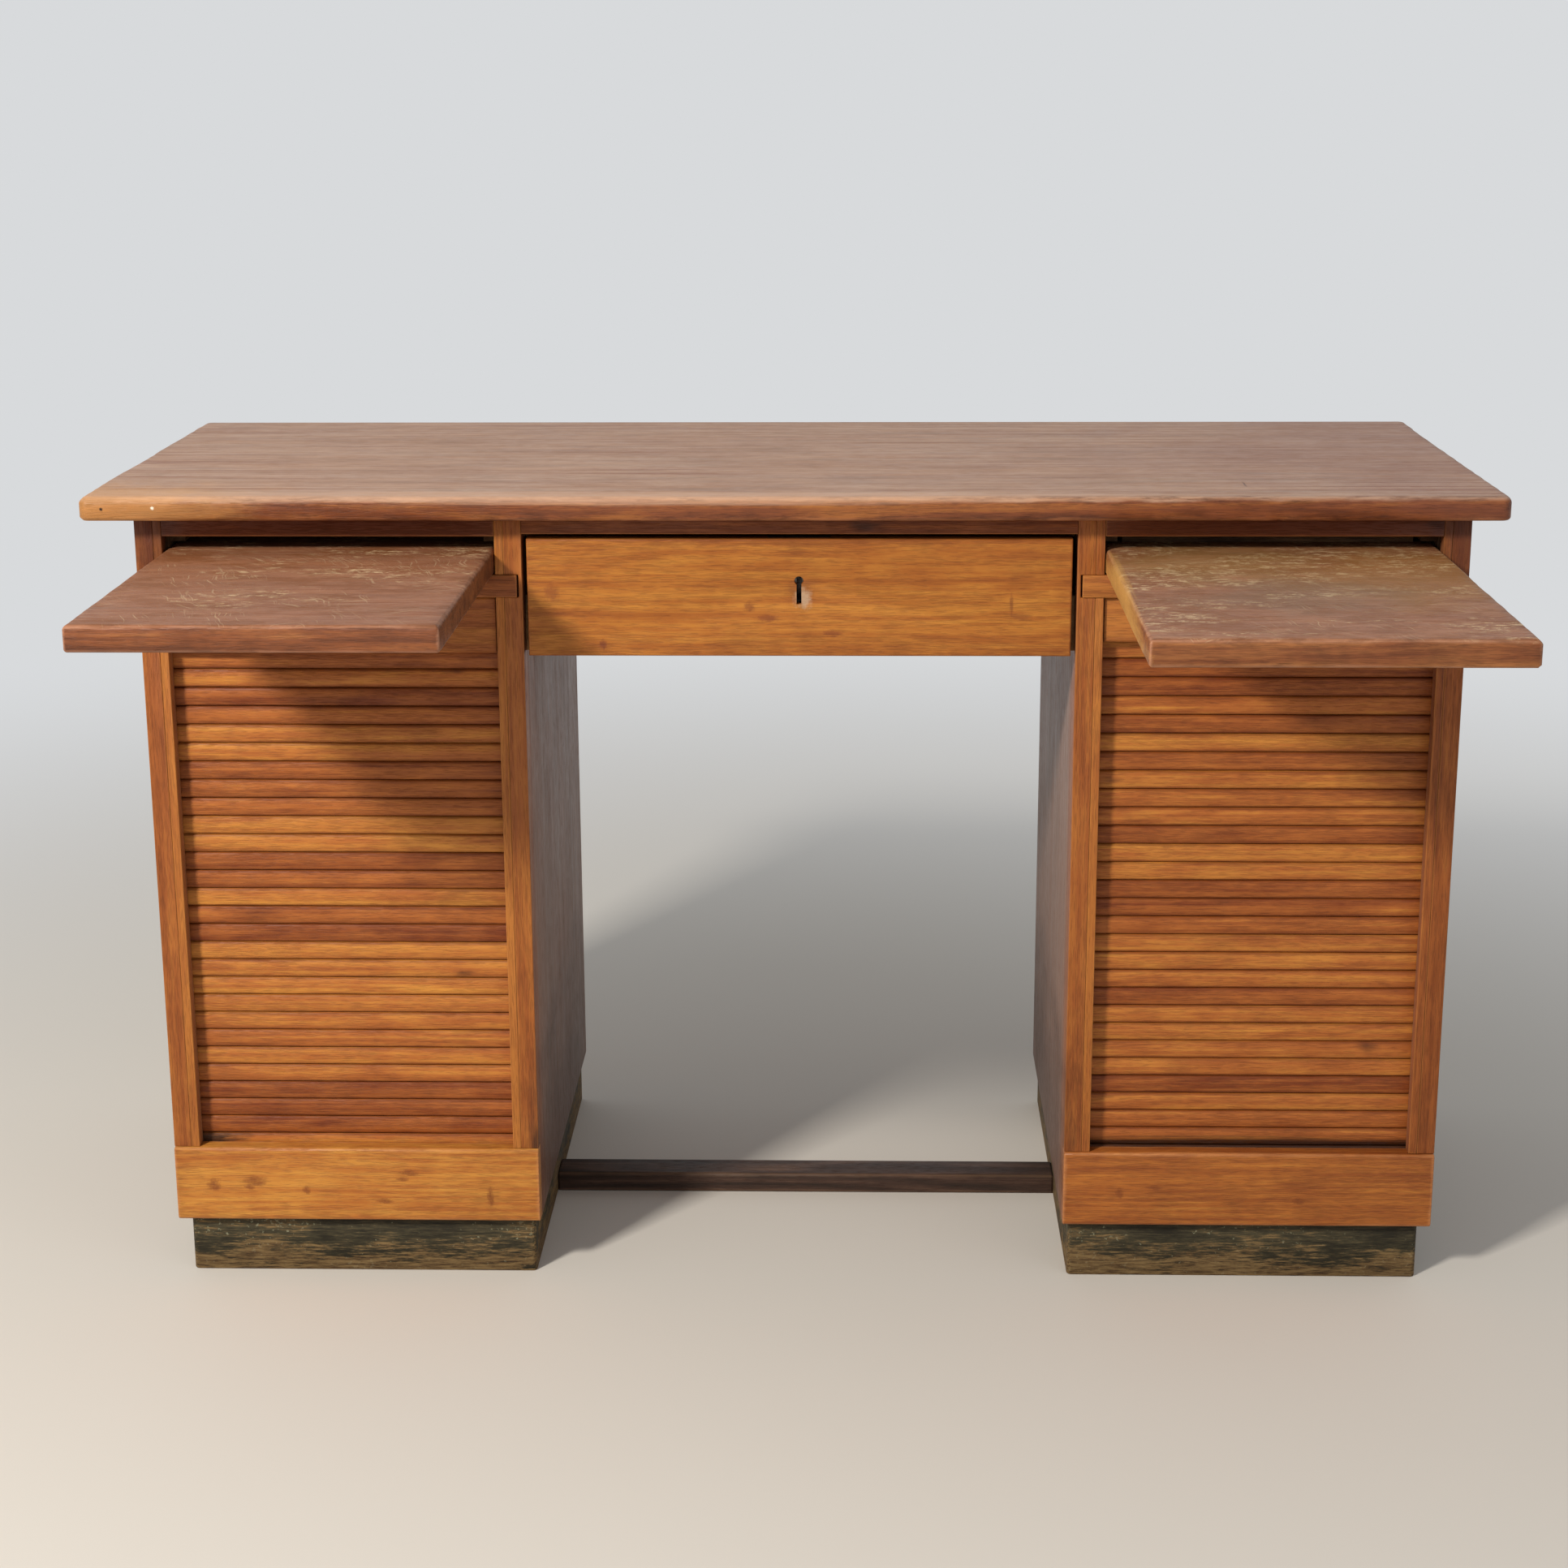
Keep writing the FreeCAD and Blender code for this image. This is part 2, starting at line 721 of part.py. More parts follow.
def pedestal_floors(side):
    """The bottom that the curtain runs over, the compartment's floor, its shelf and its lid."""
    keep(
        board(
            f"{side}_bottom_board",
            across(side, "Plan.bay_low_x", "Plan.bay_high_x"),
            ("Plan.strip_back_y", "Plan.back_panel_y"),
            ("Size.plinth_height", "Plan.bottom_top"),
        )
    )
    shelf_front = "Plan.liner_front_y + Size.shelf_setback"
    for name, front, low, thick in (
        ("floor", "Plan.liner_front_y", "Plan.floor_under", "Size.floor_thick"),
        ("shelf", shelf_front, "Plan.shelf_under", "Size.floor_thick"),
        ("bearer", "Plan.strip_back_y", "Plan.bearer_under", "Size.bearer_thick"),
    ):
        high = f"{low} + {thick}"
        housed_board(f"{side}_{name}", side, front, "Plan.false_back_y", low, high)


def base_board(side):
    """The deep board under the curtain, a little proud, with its arrises rounded."""
    blank = board(
        f"{side}_base_blank",
        across(side, "Plan.inner_x", "Plan.outer_x"),
        ("Plan.face_y - Size.base_proud", "Plan.strip_back_y"),
        ("Size.plinth_height", "Plan.base_top"),
    )
    front = "Plan.face_y - Size.base_proud"
    edges = [("x", {"y": front, "z": "Plan.base_top"}), ("x", {"y": front, "z": "Size.plinth_height"})]
    return keep(rounded(f"{side}_base_board", blank, "Size.base_round", edges))


def plinth(side):
    """A glued frame of four boards on edge; the front one runs across the ends of the sides."""
    near = "Plan.inner_x + Size.plinth_inner_inset"
    far = "Plan.outer_x - Size.plinth_outer_inset"
    front_y = "Plan.face_y + Size.plinth_front_inset"
    side_y = f"{front_y} + Size.plinth_thick"
    level = ("0", "Size.plinth_height")
    x_low, x_high = across(side, near, far)
    blank = board(f"{side}_plinth_front_blank", (x_low, x_high), (front_y, side_y), level)
    corners = [("z", dict(x=x, y=front_y)) for x in (x_low, x_high)]
    front = rounded(f"{side}_plinth_front", blank, "Size.plinth_round", corners)
    inner_blank = board(
        f"{side}_plinth_inner_blank",
        across(side, near, f"{near} + Size.plinth_thick"),
        (side_y, "Plan.back_y"),
        level,
    )
    deep = f"{near} + Size.foot_tenon_length + Size.tenon_room"
    foot_mortise = board(f"{side}_foot_mortise", across(side, near, deep), *foot_tenon())
    inner = cut_away(f"{side}_plinth_inner", inner_blank, [foot_mortise])
    outer = board(
        f"{side}_plinth_outer",
        across(side, f"{far} - Size.plinth_thick", far),
        (side_y, "Plan.back_y"),
        level,
    )
    back = board(
        f"{side}_plinth_back",
        across(side, f"{near} + Size.plinth_thick", f"{far} - Size.plinth_thick"),
        ("Plan.back_y - Size.plinth_thick", "Plan.back_y"),
        level,
    )
    return keep(grouped(f"{side}_plinth", [front, inner, outer, back]))


# ---------------------------------------------------------------------------------------------
# Slides and their rails
# ---------------------------------------------------------------------------------------------


def slide_rails(side):
    """The rail under the slide, lapped over the panels' front edges, and the rail over it."""
    keep(
        board(
            f"{side}_slide_rail",
            across(
                side,
                "Plan.inner_x + Size.slide_rail_lap",
                "Plan.outer_x - Size.slide_rail_lap",
            ),
            ("Plan.face_y - Size.slide_rail_proud", "Plan.strip_back_y"),
            ("Plan.slide_rail_under", "Plan.slide_under"),
        )
    )
    x_limits = across(side, "Plan.clear_low_x", "Plan.clear_high_x")
    blank = board(
        f"{side}_top_rail_blank",
        x_limits,
        ("Plan.face_y", "Plan.face_y + Size.top_rail_depth"),
        ("Plan.top_rail_under", "Plan.top_under"),
    )
    hole = screw_hole(f"{side}_top_rail", screw_places(side)["top_rail"])
    keep(cut_away(f"{side}_top_rail", blank, hole))


def kickers(side):
    """Two strips under the top that stop the slide from tipping when it is drawn out."""
    strips = []
    tools = []
    for which, near, far in (
        ("inner", "Plan.clear_low_x", "Plan.clear_low_x + Size.kicker_width"),
        ("outer", "Plan.clear_high_x - Size.kicker_width", "Plan.clear_high_x"),
    ):
        strips.append(
            board(
                f"{side}_{which}_kicker",
                across(side, near, far),
                ("Plan.face_y + Size.top_rail_depth", "Plan.back_panel_y"),
                ("Plan.kicker_under", "Plan.top_under"),
            )
        )
        tools += kicker_hole(f"{side}_{which}_kicker", screw_places(side)[f"{which}_kicker"])
    return keep(cut_away(f"{side}_kickers", joined(f"{side}_kicker_pair", strips), tools))


def kicker_hole(label, place):
    """A kicker is deeper than its screw is long, so the head goes up a counterbore."""
    x, y, z = place
    wide = "Size.screw_head + Size.screw_play"
    foot = (x, y, "Plan.kicker_under")
    counterbore = cylinder(f"{label}_counterbore", wide, f"{z} - Plan.kicker_under", foot)
    return screw_hole(label, place) + [counterbore]


def slide(side):
    """A pull-out leaf, with the batten on its back end that meets the rail when it is out."""
    out = f"Size.{side}_slide_out"
    near = "Plan.clear_low_x + Size.slide_side_gap"
    far = "Plan.clear_high_x - Size.slide_side_gap"
    x_low, x_high = across(side, near, far)
    front_y = f"Plan.face_y - {out}"
    back_y = f"{front_y} + Size.slide_length"
    blank = board(
        f"{side}_slide_blank", (x_low, x_high), (front_y, back_y), ("Plan.slide_under", "Plan.slide_top")
    )
    edges = [("x", dict(y=front_y, z=z)) for z in ("Plan.slide_under", "Plan.slide_top")]
    edges += [("z", dict(x=x, y=front_y)) for x in (x_low, x_high)]
    keep(rounded(f"{side}_slide", blank, "Size.slide_round", edges))
    inset = "Size.kicker_width + Size.kicker_gap"
    keep(
        board(
            f"{side}_slide_stop",
            across(side, f"Plan.clear_low_x + {inset}", f"Plan.clear_high_x - ({inset})"),
            (f"{back_y} - Size.slide_stop_depth", back_y),
            ("Plan.slide_top", "Plan.slide_top + Size.slide_stop_height"),
        )
    )


# ---------------------------------------------------------------------------------------------
# Tambour curtains
# ---------------------------------------------------------------------------------------------


def lead_bar(side):
    """The stout top bar: a tongue in the curtain's channel and a face between the strips,
    with a finger grip in the middle."""
    half_tongue = "(Size.pedestal_width / 2 - Size.panel_thick - Size.curtain_play)"
    half_face = f"({half_tongue} - Size.strip_width)"
    front_y = "Plan.face_y + Size.lead_recess"
    shoulder_y = "Plan.strip_back_y + Size.curtain_play"
    back_y = "Plan.strip_back_y + Size.curtain_play + Size.slat_thick"
    height = f"Size.{side}_lead_height"
    low = f"Plan.slide_rail_under - Size.lead_play - {height}"
    body = new_body(f"{side}_lead_bar", x=across(side, "Plan.middle_x", "Plan.middle_x")[0], z=low)
    section = new_sketch(body, "XY_Plane", "section")
    corners = [
        (f"-{half_face}", front_y),
        (half_face, front_y),
        (half_face, shoulder_y),
        (half_tongue, shoulder_y),
        (half_tongue, back_y),
        (f"-{half_tongue}", back_y),
        (f"-{half_tongue}", shoulder_y),
        (f"-{half_face}", shoulder_y),
    ]
    draw_outline(section, corners)
    pad(body, section, height)
    arrises = [("x", dict(y=front_y, z=z)) for z in ("0", height)]
    round_over(body, "Size.lead_round", arrises, "arrises")
    grip = new_sketch(body, "XZ_Plane", "grip")
    middle = f"{height} / 2"
    low_x, high_x = "-Size.grip_width / 2", "Size.grip_width / 2"
    low_z, high_z = f"{middle} - Size.grip_height / 2", f"{middle} + Size.grip_height / 2"
    draw_outline(grip, rectangle(low_x, high_x, low_z, high_z))
    grip.setExpression("AttachmentOffset.Base.z", f"-({front_y} + Size.grip_depth)")
    pocket(body, grip, "Size.grip_depth", "grip_pocket", reverse=True)
    ends = [("y", dict(x=x, z=z)) for x in (low_x, high_x) for z in (low_z, high_z)]
    round_over(body, "Size.grip_height / 2 - Size.grip_end_flat", ends, "grip_ends")
    return keep(body)


def slat_count(side):
    """How many slats fit between the lead bar and the top of the curtain's turn."""
    run = f"Plan.slide_rail_under - Size.lead_play - Size.{side}_lead_height - Plan.turn_top"
    return f"floor(({run}) / Size.slat_pitch + 0.01)"


def slats(side):
    """The slats, hung edge to edge under the lead bar, the two long edges of each face bevelled."""
    half = "(Size.pedestal_width / 2 - Size.panel_thick - Size.curtain_play)"
    top = f"(Plan.slide_rail_under - Size.lead_play - Size.{side}_lead_height)"
    count = slat_count(side)
    body = new_body(
        f"{side}_slats",
        x=across(side, "Plan.middle_x", "Plan.middle_x")[0],
        y="Plan.strip_back_y + Size.curtain_play",
        z=f"{top} - {count} * Size.slat_pitch",
    )
    section = new_sketch(body, "YZ_Plane", "section")
    draw_outline(
        section,
        rectangle("0", "Size.slat_thick", "Size.slat_gap / 2", "Size.slat_pitch - Size.slat_gap / 2"),
    )
    pad(body, section, f"2 * {half}", midplane=True)
    face = [("x", dict(y="0", z=z)) for z in ("Size.slat_gap / 2", "Size.slat_pitch - Size.slat_gap / 2")]
    ease_edges(body, "Chamfer", "Size.slat_bevel", face, "bevels")
    row = body.newObject("PartDesign::LinearPattern", f"{side}_slats_row")
    row.TransformMode = "Whole shape"
    row.Direction = (section, ["V_Axis"])
    row.setExpression("Occurrences", count)
    row.setExpression("Length", f"({count} - 1) * Size.slat_pitch")
    body.Tip = row
    return keep(body)


def canvas(side):
    """The cloth glued behind the slats, which lets them turn as one curtain."""
    slat_back_y = "Plan.strip_back_y + Size.curtain_play + Size.slat_thick"
    top = f"(Plan.slide_rail_under - Size.lead_play - Size.{side}_lead_height)"
    near = "Plan.clear_low_x + Size.canvas_inset"
    far = "Plan.clear_high_x - Size.canvas_inset"
    return keep(
        board(
            f"{side}_canvas",
            across(side, near, far),
            (slat_back_y, f"{slat_back_y} + Size.canvas_thick"),
            (f"{top} - {slat_count(side)} * Size.slat_pitch", f"{top}"),
        )
    )


# ---------------------------------------------------------------------------------------------
# Kneehole: rails, runners, apron and foot rail
# ---------------------------------------------------------------------------------------------


def drawer_rail():
    """The rail over the drawer, tenoned to the panels and mortised for the lock's bolt."""
    blank = board(
        "drawer_rail_blank",
        ("-Plan.inner_x", "Plan.inner_x"),
        ("Plan.face_y", "Plan.face_y + Size.drawer_rail_depth"),
        ("Plan.drawer_rail_under", "Plan.top_under"),
    )
    half = "(Size.bolt_width / 2 + Size.mortise_play)"
    bolt_mortise = board(
        "bolt_mortise",
        (f"-{half}", half),
        ("Plan.bolt_y - Size.mortise_play", "Plan.bolt_back_y + Size.mortise_play"),
        ("Plan.drawer_rail_under", "Plan.drawer_top + Size.bolt_throw + Size.mortise_play"),
    )
    rail = tenoned("drawer_rail_and_tenons", blank, *kneehole_tenons()["drawer_rail"])
    return keep(cut_away("drawer_rail", rail, [bolt_mortise]))


def drawer_runner(side):
    """An angled runner: a ledge under the drawer's side and a guide beside it."""
    x_limit = "-Plan.inner_x" if side == "left" else "Plan.inner_x"
    inwards = "+" if side == "left" else "-"
    runner_y = "Plan.drawer_front_back_y + Size.runner_gap"
    body = new_body(f"{side}_drawer_runner", x=x_limit, y=runner_y, z="Plan.side_under")
    section = new_sketch(body, "XZ_Plane", "section")
    ledge = f"{inwards}Size.runner_width"
    guide = f"{inwards}(Size.drawer_side_gap - Size.runner_gap)"
    drop = "-(Size.drawer_side_lift - Size.runner_lift)"
    draw_outline(
        section,
        [
            ("0", drop),
            (ledge, drop),
            (ledge, "0"),
            (guide, "0"),
            (guide, "Size.runner_guide_height"),
            ("0", "Size.runner_guide_height"),
        ],
    )
    pad(body, section, f"Plan.apron_y - ({runner_y})", reverse=True)
    return keep(body)


def drawer_kickers():
    """Two strips over the drawer's sides that hold it level when it is drawn out."""
    strips = [
        board(
            f"{side}_drawer_kicker",
            across(side, "Plan.inner_x - Size.runner_width", "Plan.inner_x"),
            ("Plan.face_y + Size.drawer_rail_depth", "Plan.apron_y"),
            ("Plan.side_top + Size.drawer_kicker_gap", "Plan.top_under"),
        )
        for side in SIDES
    ]
    return keep(joined("drawer_kickers", strips))


def kneehole_boards():
    """The apron behind the drawer, and the foot rail on the floor between the plinths."""
    apron = board(
        "back_apron_blank",
        ("-Plan.inner_x", "Plan.inner_x"),
        ("Plan.apron_y", "Plan.back_y"),
        ("Plan.apron_under", "Plan.top_under"),
    )
    keep(tenoned("back_apron", apron, *kneehole_tenons()["back_apron"]))
    half = "(Plan.inner_x + Size.plinth_inner_inset)"
    y_limits = ("Plan.foot_rail_y", "Plan.foot_rail_back_y")
    blank = board("foot_rail_blank", (f"-{half}", half), y_limits, ("0", "Size.foot_rail_height"))
    edges = [("x", dict(y=y, z="Size.foot_rail_height")) for y in y_limits]
    rail = rounded("foot_rail_rounded", blank, "Size.foot_rail_round", edges)
    end = f"({half} + Size.foot_tenon_length)"
    tenons = board("foot_rail_tenons", (f"-{end}", end), *foot_tenon())
    keep(joined("foot_rail", [rail, tenons]))


def foot_tenon():
    """The Y and Z limits of the foot rail's tenons, which enter the plinths' inner boards."""
    y_limits = ("Plan.foot_rail_y + Size.tenon_thick", "Plan.foot_rail_back_y - Size.tenon_thick")
    return y_limits, ("Size.tenon_shoulder", "Size.foot_rail_height - Size.tenon_shoulder")


# ---------------------------------------------------------------------------------------------
# Centre drawer
# ---------------------------------------------------------------------------------------------


def tail_places(low, high):
    """Middle heights of the dovetails, spread evenly between two levels."""
    count = int(value("Size.tail_count"))
    step = f"(({high}) - ({low})) / {count}"
    return [f"{low} + {number + 0.5} * {step}" for number in range(count)]


def tail_outline(root, tip, middle):
    """A dovetail seen from the side: narrow at its root, wide at its tip."""
    return [
        (root, f"{middle} - Size.tail_narrow / 2"),
        (tip, f"{middle} - Size.tail_wide / 2"),
        (tip, f"{middle} + Size.tail_wide / 2"),
        (root, f"{middle} + Size.tail_narrow / 2"),
    ]


def front_tails():
    """The outlines of the tails that enter the drawer's front and stop behind its face."""
    tip = "Plan.face_y + Size.lap_thick"
    middles = tail_places("Plan.side_under", "Plan.side_top")
    return [tail_outline("Plan.drawer_front_back_y", tip, middle) for middle in middles]


def back_tails():
    """The outlines of the tails that go right through the drawer's back."""
    middles = tail_places("Plan.drawer_floor_top", "Plan.side_top")
    return [tail_outline("Plan.drawer_back_front_y", "Plan.drawer_back_y", middle) for middle in middles]


def cut_sockets(body, tails):
    """Sockets for the sides' dovetails, cut into both ends of the drawer's front or back."""
    for end, x in (("left", "-Plan.drawer_half"), ("right", "Plan.drawer_half")):
        sockets = new_sketch(body, "YZ_Plane", f"{end}_sockets")
        for tail in tails:
            draw_outline(sockets, tail)
        sockets.setExpression("AttachmentOffset.Base.z", x)
        pocket(body, sockets, "Size.drawer_side_thick", f"{end}_socket_pocket", reverse=end == "left")


def drawer_front():
    """The drawer's face: keyhole, lock recess, groove for the bottom and dovetail sockets."""
    body = new_body("drawer_front")
    face = new_sketch(body, "XZ_Plane", "face")
    draw_outline(
        face, rectangle("-Plan.drawer_half", "Plan.drawer_half", "Plan.drawer_under", "Plan.drawer_top")
    )
    face.setExpression("AttachmentOffset.Base.z", "-Plan.drawer_front_back_y")
    pad(body, face, "Size.drawer_front_thick")
    arrises = [("x", dict(y="Plan.face_y", z=z)) for z in ("Plan.drawer_under", "Plan.drawer_top")]
    arrises += [("z", dict(y="Plan.face_y", x=x)) for x in ("-Plan.drawer_half", "Plan.drawer_half")]
    round_over(body, "Size.drawer_round", arrises, "arrises")

    recess = new_sketch(body, "XZ_Plane", "lock_recess")
    lock_low, half = "Plan.drawer_top - Size.lock_height", "Size.lock_width / 2"
    draw_outline(recess, rectangle(f"-{half}", half, lock_low, "Plan.drawer_top"))
    recess.setExpression("AttachmentOffset.Base.z", "-Plan.drawer_front_back_y")
    pocket(body, recess, "Size.lock_depth", "lock_pocket", reverse=True)

    groove = new_sketch(body, "XZ_Plane", "groove")
    inside = "(Plan.drawer_half - Size.drawer_side_thick)"
    draw_outline(groove, rectangle(f"-{inside}", inside, "Plan.drawer_floor", "Plan.drawer_floor_top"))
    groove.setExpression("AttachmentOffset.Base.z", "-Plan.drawer_front_back_y")
    pocket(body, groove, "Size.groove_depth", "groove_pocket", reverse=True)

    cut_sockets(body, front_tails())

    key = new_sketch(body, "XZ_Plane", "keyhole")
    draw_circle(key, "0", "Plan.keyhole_z", "Size.keyhole_round")
    key.setExpression("AttachmentOffset.Base.z", "-Plan.lock_y")
    pocket(body, key, "Plan.lock_y - Plan.face_y", "key_round", reverse=True)
    slot = new_sketch(body, "XZ_Plane", "key_slot_outline")
    half = "Size.keyhole_slot / 2"
    low = "Plan.keyhole_z - Size.keyhole_length"
    draw_outline(slot, rectangle(f"-{half}", half, low, "Plan.keyhole_z"))
    slot.setExpression("AttachmentOffset.Base.z", "-Plan.lock_y")
    pocket(body, slot, "Plan.lock_y - Plan.face_y", "key_slot", reverse=True)
    return keep(body)


def drawer_side(side):
    """A drawer side with dovetails at both ends and a groove for the bottom."""
    left = side == "left"
    thick = "Size.drawer_side_thick"
    body = new_body(f"drawer_{side}_side", x="-Plan.drawer_half" if left else "Plan.drawer_half")
    outline = new_sketch(body, "YZ_Plane", "outline")
    corners = [
        ("Plan.drawer_front_back_y", "Plan.side_under"),
        ("Plan.drawer_back_y", "Plan.side_under"),
        ("Plan.drawer_back_y", "Plan.drawer_floor_top"),
        ("Plan.drawer_back_front_y", "Plan.drawer_floor_top"),
        ("Plan.drawer_back_front_y", "Plan.side_top"),
        ("Plan.drawer_front_back_y", "Plan.side_top"),
    ]
    draw_outline(outline, corners)
    pad(body, outline, thick, reverse=not left)
    for end, tails in (("front", front_tails()), ("back", back_tails())):
        sketch = new_sketch(body, "YZ_Plane", f"{end}_tails")
        for tail in tails:
            draw_outline(sketch, tail)
        pad(body, sketch, thick, name=f"{end}_tail_pad", reverse=not left)
    groove = new_sketch(body, "YZ_Plane", "groove")
    ends = ("Plan.drawer_front_back_y", "Plan.drawer_back_y")
    draw_outline(groove, rectangle(*ends, "Plan.drawer_floor", "Plan.drawer_floor_top"))
    depth = f"({thick} - Size.groove_depth)"
    groove.setExpression("AttachmentOffset.Base.z", depth if left else f"-{depth}")
    pocket(body, groove, "Size.groove_depth", "groove_pocket", reverse=left)
    return keep(body)


def drawer_back():
    """The drawer's back, socketed for the sides' tails; it stands on the bottom."""
    body = new_body("drawer_back")
    sketch = new_sketch(body, "XZ_Plane", "outline")
    half = "Plan.drawer_half"
    draw_outline(sketch, rectangle(f"-{half}", half, "Plan.drawer_floor_top", "Plan.side_top"))
    sketch.setExpression("AttachmentOffset.Base.z", "-Plan.drawer_back_y")
    pad(body, sketch, "Size.drawer_side_thick")
    cut_sockets(body, back_tails())
    return keep(body)


def drawer_bottom():
    """The bottom, which slides into its grooves from behind, under the drawer's back."""
    inside = "(Plan.drawer_half - Size.drawer_side_thick)"
    grooved = f"({inside} + Size.groove_depth)"
    tongue = board(
        "drawer_bottom_tongue",
        (f"-{inside}", inside),
        ("Plan.drawer_front_back_y - Size.groove_depth", "Plan.drawer_front_back_y"),
        ("Plan.drawer_floor", "Plan.drawer_floor_top"),
    )
    sheet = board(
        "drawer_bottom_sheet",
        (f"-{grooved}", grooved),
        ("Plan.drawer_front_back_y", "Plan.drawer_back_y"),
        ("Plan.drawer_floor", "Plan.drawer_floor_top"),
    )
    return keep(joined("drawer_bottom", [tongue, sheet]))


def lock_case():
    """The lock's box, hollow for its bolt, open at the top, with the key's hole through it."""
    wall = "Size.lock_wall"
    half = "Size.lock_width / 2"
    low = "Plan.drawer_top - Size.lock_height"
    blank = board(
        "lock_blank",
        (f"-{half}", half),
        ("Plan.lock_y", "Plan.drawer_front_back_y"),
        (low, "Plan.drawer_top"),
    )
    hollow = board(
        "lock_hollow",
        (f"-{half} + {wall}", f"{half} - {wall}"),
        (f"Plan.lock_y + {wall}", f"Plan.drawer_front_back_y - {wall}"),
        (f"{low} + {wall}", f"Plan.drawer_top - {wall}"),
    )
    bolt_half = "(Size.bolt_width / 2 + Size.bolt_play)"
    mouth = board(
        "lock_mouth",
        (f"-{bolt_half}", bolt_half),
        ("Plan.bolt_y - Size.bolt_play", "Plan.bolt_back_y + Size.bolt_play"),
        (f"Plan.drawer_top - {wall}", "Plan.drawer_top"),
    )
    key_half = "Size.keyhole_slot / 2"
    keyway = board(
        "lock_keyway",
        (f"-{key_half}", key_half),
        ("Plan.lock_y", f"Plan.lock_y + {wall}"),
        ("Plan.keyhole_z - Size.keyhole_length", "Plan.keyhole_z + Size.keyhole_round"),
    )
    return keep(cut_away("lock_case", blank, [hollow, mouth, keyway]))


def lock_bolt():
    """The bolt, flush with the drawer's top edge until the key throws it."""
    half = "Size.bolt_width / 2"
    return keep(
        board(
            "lock_bolt",
            (f"-{half}", half),
            ("Plan.bolt_y", "Plan.bolt_back_y"),
            ("Plan.drawer_top - Size.bolt_height", "Plan.drawer_top"),
        )
    )


# ---------------------------------------------------------------------------------------------
# The desk
# ---------------------------------------------------------------------------------------------


def build_pedestal(side):
    """One pedestal with its slide and its curtain."""
    for which in ("inner", "outer"):
        side_panel(side, which)
        liner(side, which)
    guide_strips(side)
    turn_blocks(side)
    pedestal_backs(side)
    pedestal_floors(side)
    base_board(side)
    plinth(side)
    slide_rails(side)
    kickers(side)
    slide(side)
    lead_bar(side)
    slats(side)
    canvas(side)


def build_desk():
    """Every sub-part, then the checks and the files."""
    desk_top()
    top_screws()
    for side in SIDES:
        build_pedestal(side)
        drawer_runner(side)
        drawer_side(side)
    drawer_rail()
    drawer_kickers()
    kneehole_boards()
    drawer_front()
    drawer_back()
    drawer_bottom()
    lock_case()
    lock_bolt()


def check_document():
    """Stops if a feature failed or a sub-part has no sound shape."""
    doc.recompute()
    for item in doc.Objects:
        if {"Invalid", "Error"} & set(item.State):
            raise ValueError(f"{item.Label} failed: {item.State}")
    for piece in nodes:
        if piece.Shape.isNull() or not piece.Shape.isValid() or not piece.Shape.Solids:
            raise ValueError(f"{piece.Label} has no sound solid")


def write_parts():
    """One STEP file for each sub-part, named by its label."""
    os.makedirs("parts", exist_ok=True)
    for piece in nodes:
        piece.Shape.exportStep(os.path.join("parts", f"{piece.Label}.step"))
    solids = sum(len(piece.Shape.Solids) for piece in nodes)
    print(f"{len(nodes)} sub-parts, {solids} solids")


build_desk()
check_document()
write_parts()
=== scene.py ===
# %% [markdown]
# # A worn tambour desk
# Two pedestals, each closed by a curtain of slats that sinks into a channel, a pull-out slide over
# each curtain, a locking drawer between them and one long top. The construction comes from the
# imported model, which is loaded first and never changed. Each cell then gives one group of its
# pieces the shape and the finish of an old desk: eased and worn arrises, grain that runs along
# every board, faded varnish and rubbed paint.

# %% Load the frame
import bpy
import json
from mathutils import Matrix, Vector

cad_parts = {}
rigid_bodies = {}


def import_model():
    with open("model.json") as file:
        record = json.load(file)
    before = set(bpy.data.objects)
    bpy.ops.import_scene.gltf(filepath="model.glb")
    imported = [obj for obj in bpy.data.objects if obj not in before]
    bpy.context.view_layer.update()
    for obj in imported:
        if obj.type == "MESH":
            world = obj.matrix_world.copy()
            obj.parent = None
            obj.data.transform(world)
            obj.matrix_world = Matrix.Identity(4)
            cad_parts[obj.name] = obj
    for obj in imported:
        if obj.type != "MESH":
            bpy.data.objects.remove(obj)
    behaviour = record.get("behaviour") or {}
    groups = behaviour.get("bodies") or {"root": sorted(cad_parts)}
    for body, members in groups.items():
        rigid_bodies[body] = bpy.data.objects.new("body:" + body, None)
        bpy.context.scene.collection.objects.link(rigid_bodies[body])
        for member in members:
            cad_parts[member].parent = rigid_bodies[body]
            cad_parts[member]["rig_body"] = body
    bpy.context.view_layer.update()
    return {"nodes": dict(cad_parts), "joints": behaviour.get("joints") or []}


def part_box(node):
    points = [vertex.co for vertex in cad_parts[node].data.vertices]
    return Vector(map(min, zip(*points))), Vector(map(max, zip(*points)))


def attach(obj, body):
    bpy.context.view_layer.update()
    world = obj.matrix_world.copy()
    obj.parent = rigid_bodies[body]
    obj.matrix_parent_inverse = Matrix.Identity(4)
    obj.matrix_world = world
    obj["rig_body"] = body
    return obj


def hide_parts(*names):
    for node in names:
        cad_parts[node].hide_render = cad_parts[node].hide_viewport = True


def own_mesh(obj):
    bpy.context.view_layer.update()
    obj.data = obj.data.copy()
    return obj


for left_over in list(bpy.data.objects):
    bpy.data.objects.remove(left_over)

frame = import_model()
nodes = frame["nodes"]

# %% [markdown]
# ## Modules and units
# The frame is in metres, so a length in millimetres is written as a number times `MM`.

# %% Modules and units
import json
import math

import bmesh
from mathutils import Matrix, Vector, noise

MM = 0.001
scene = bpy.context.scene

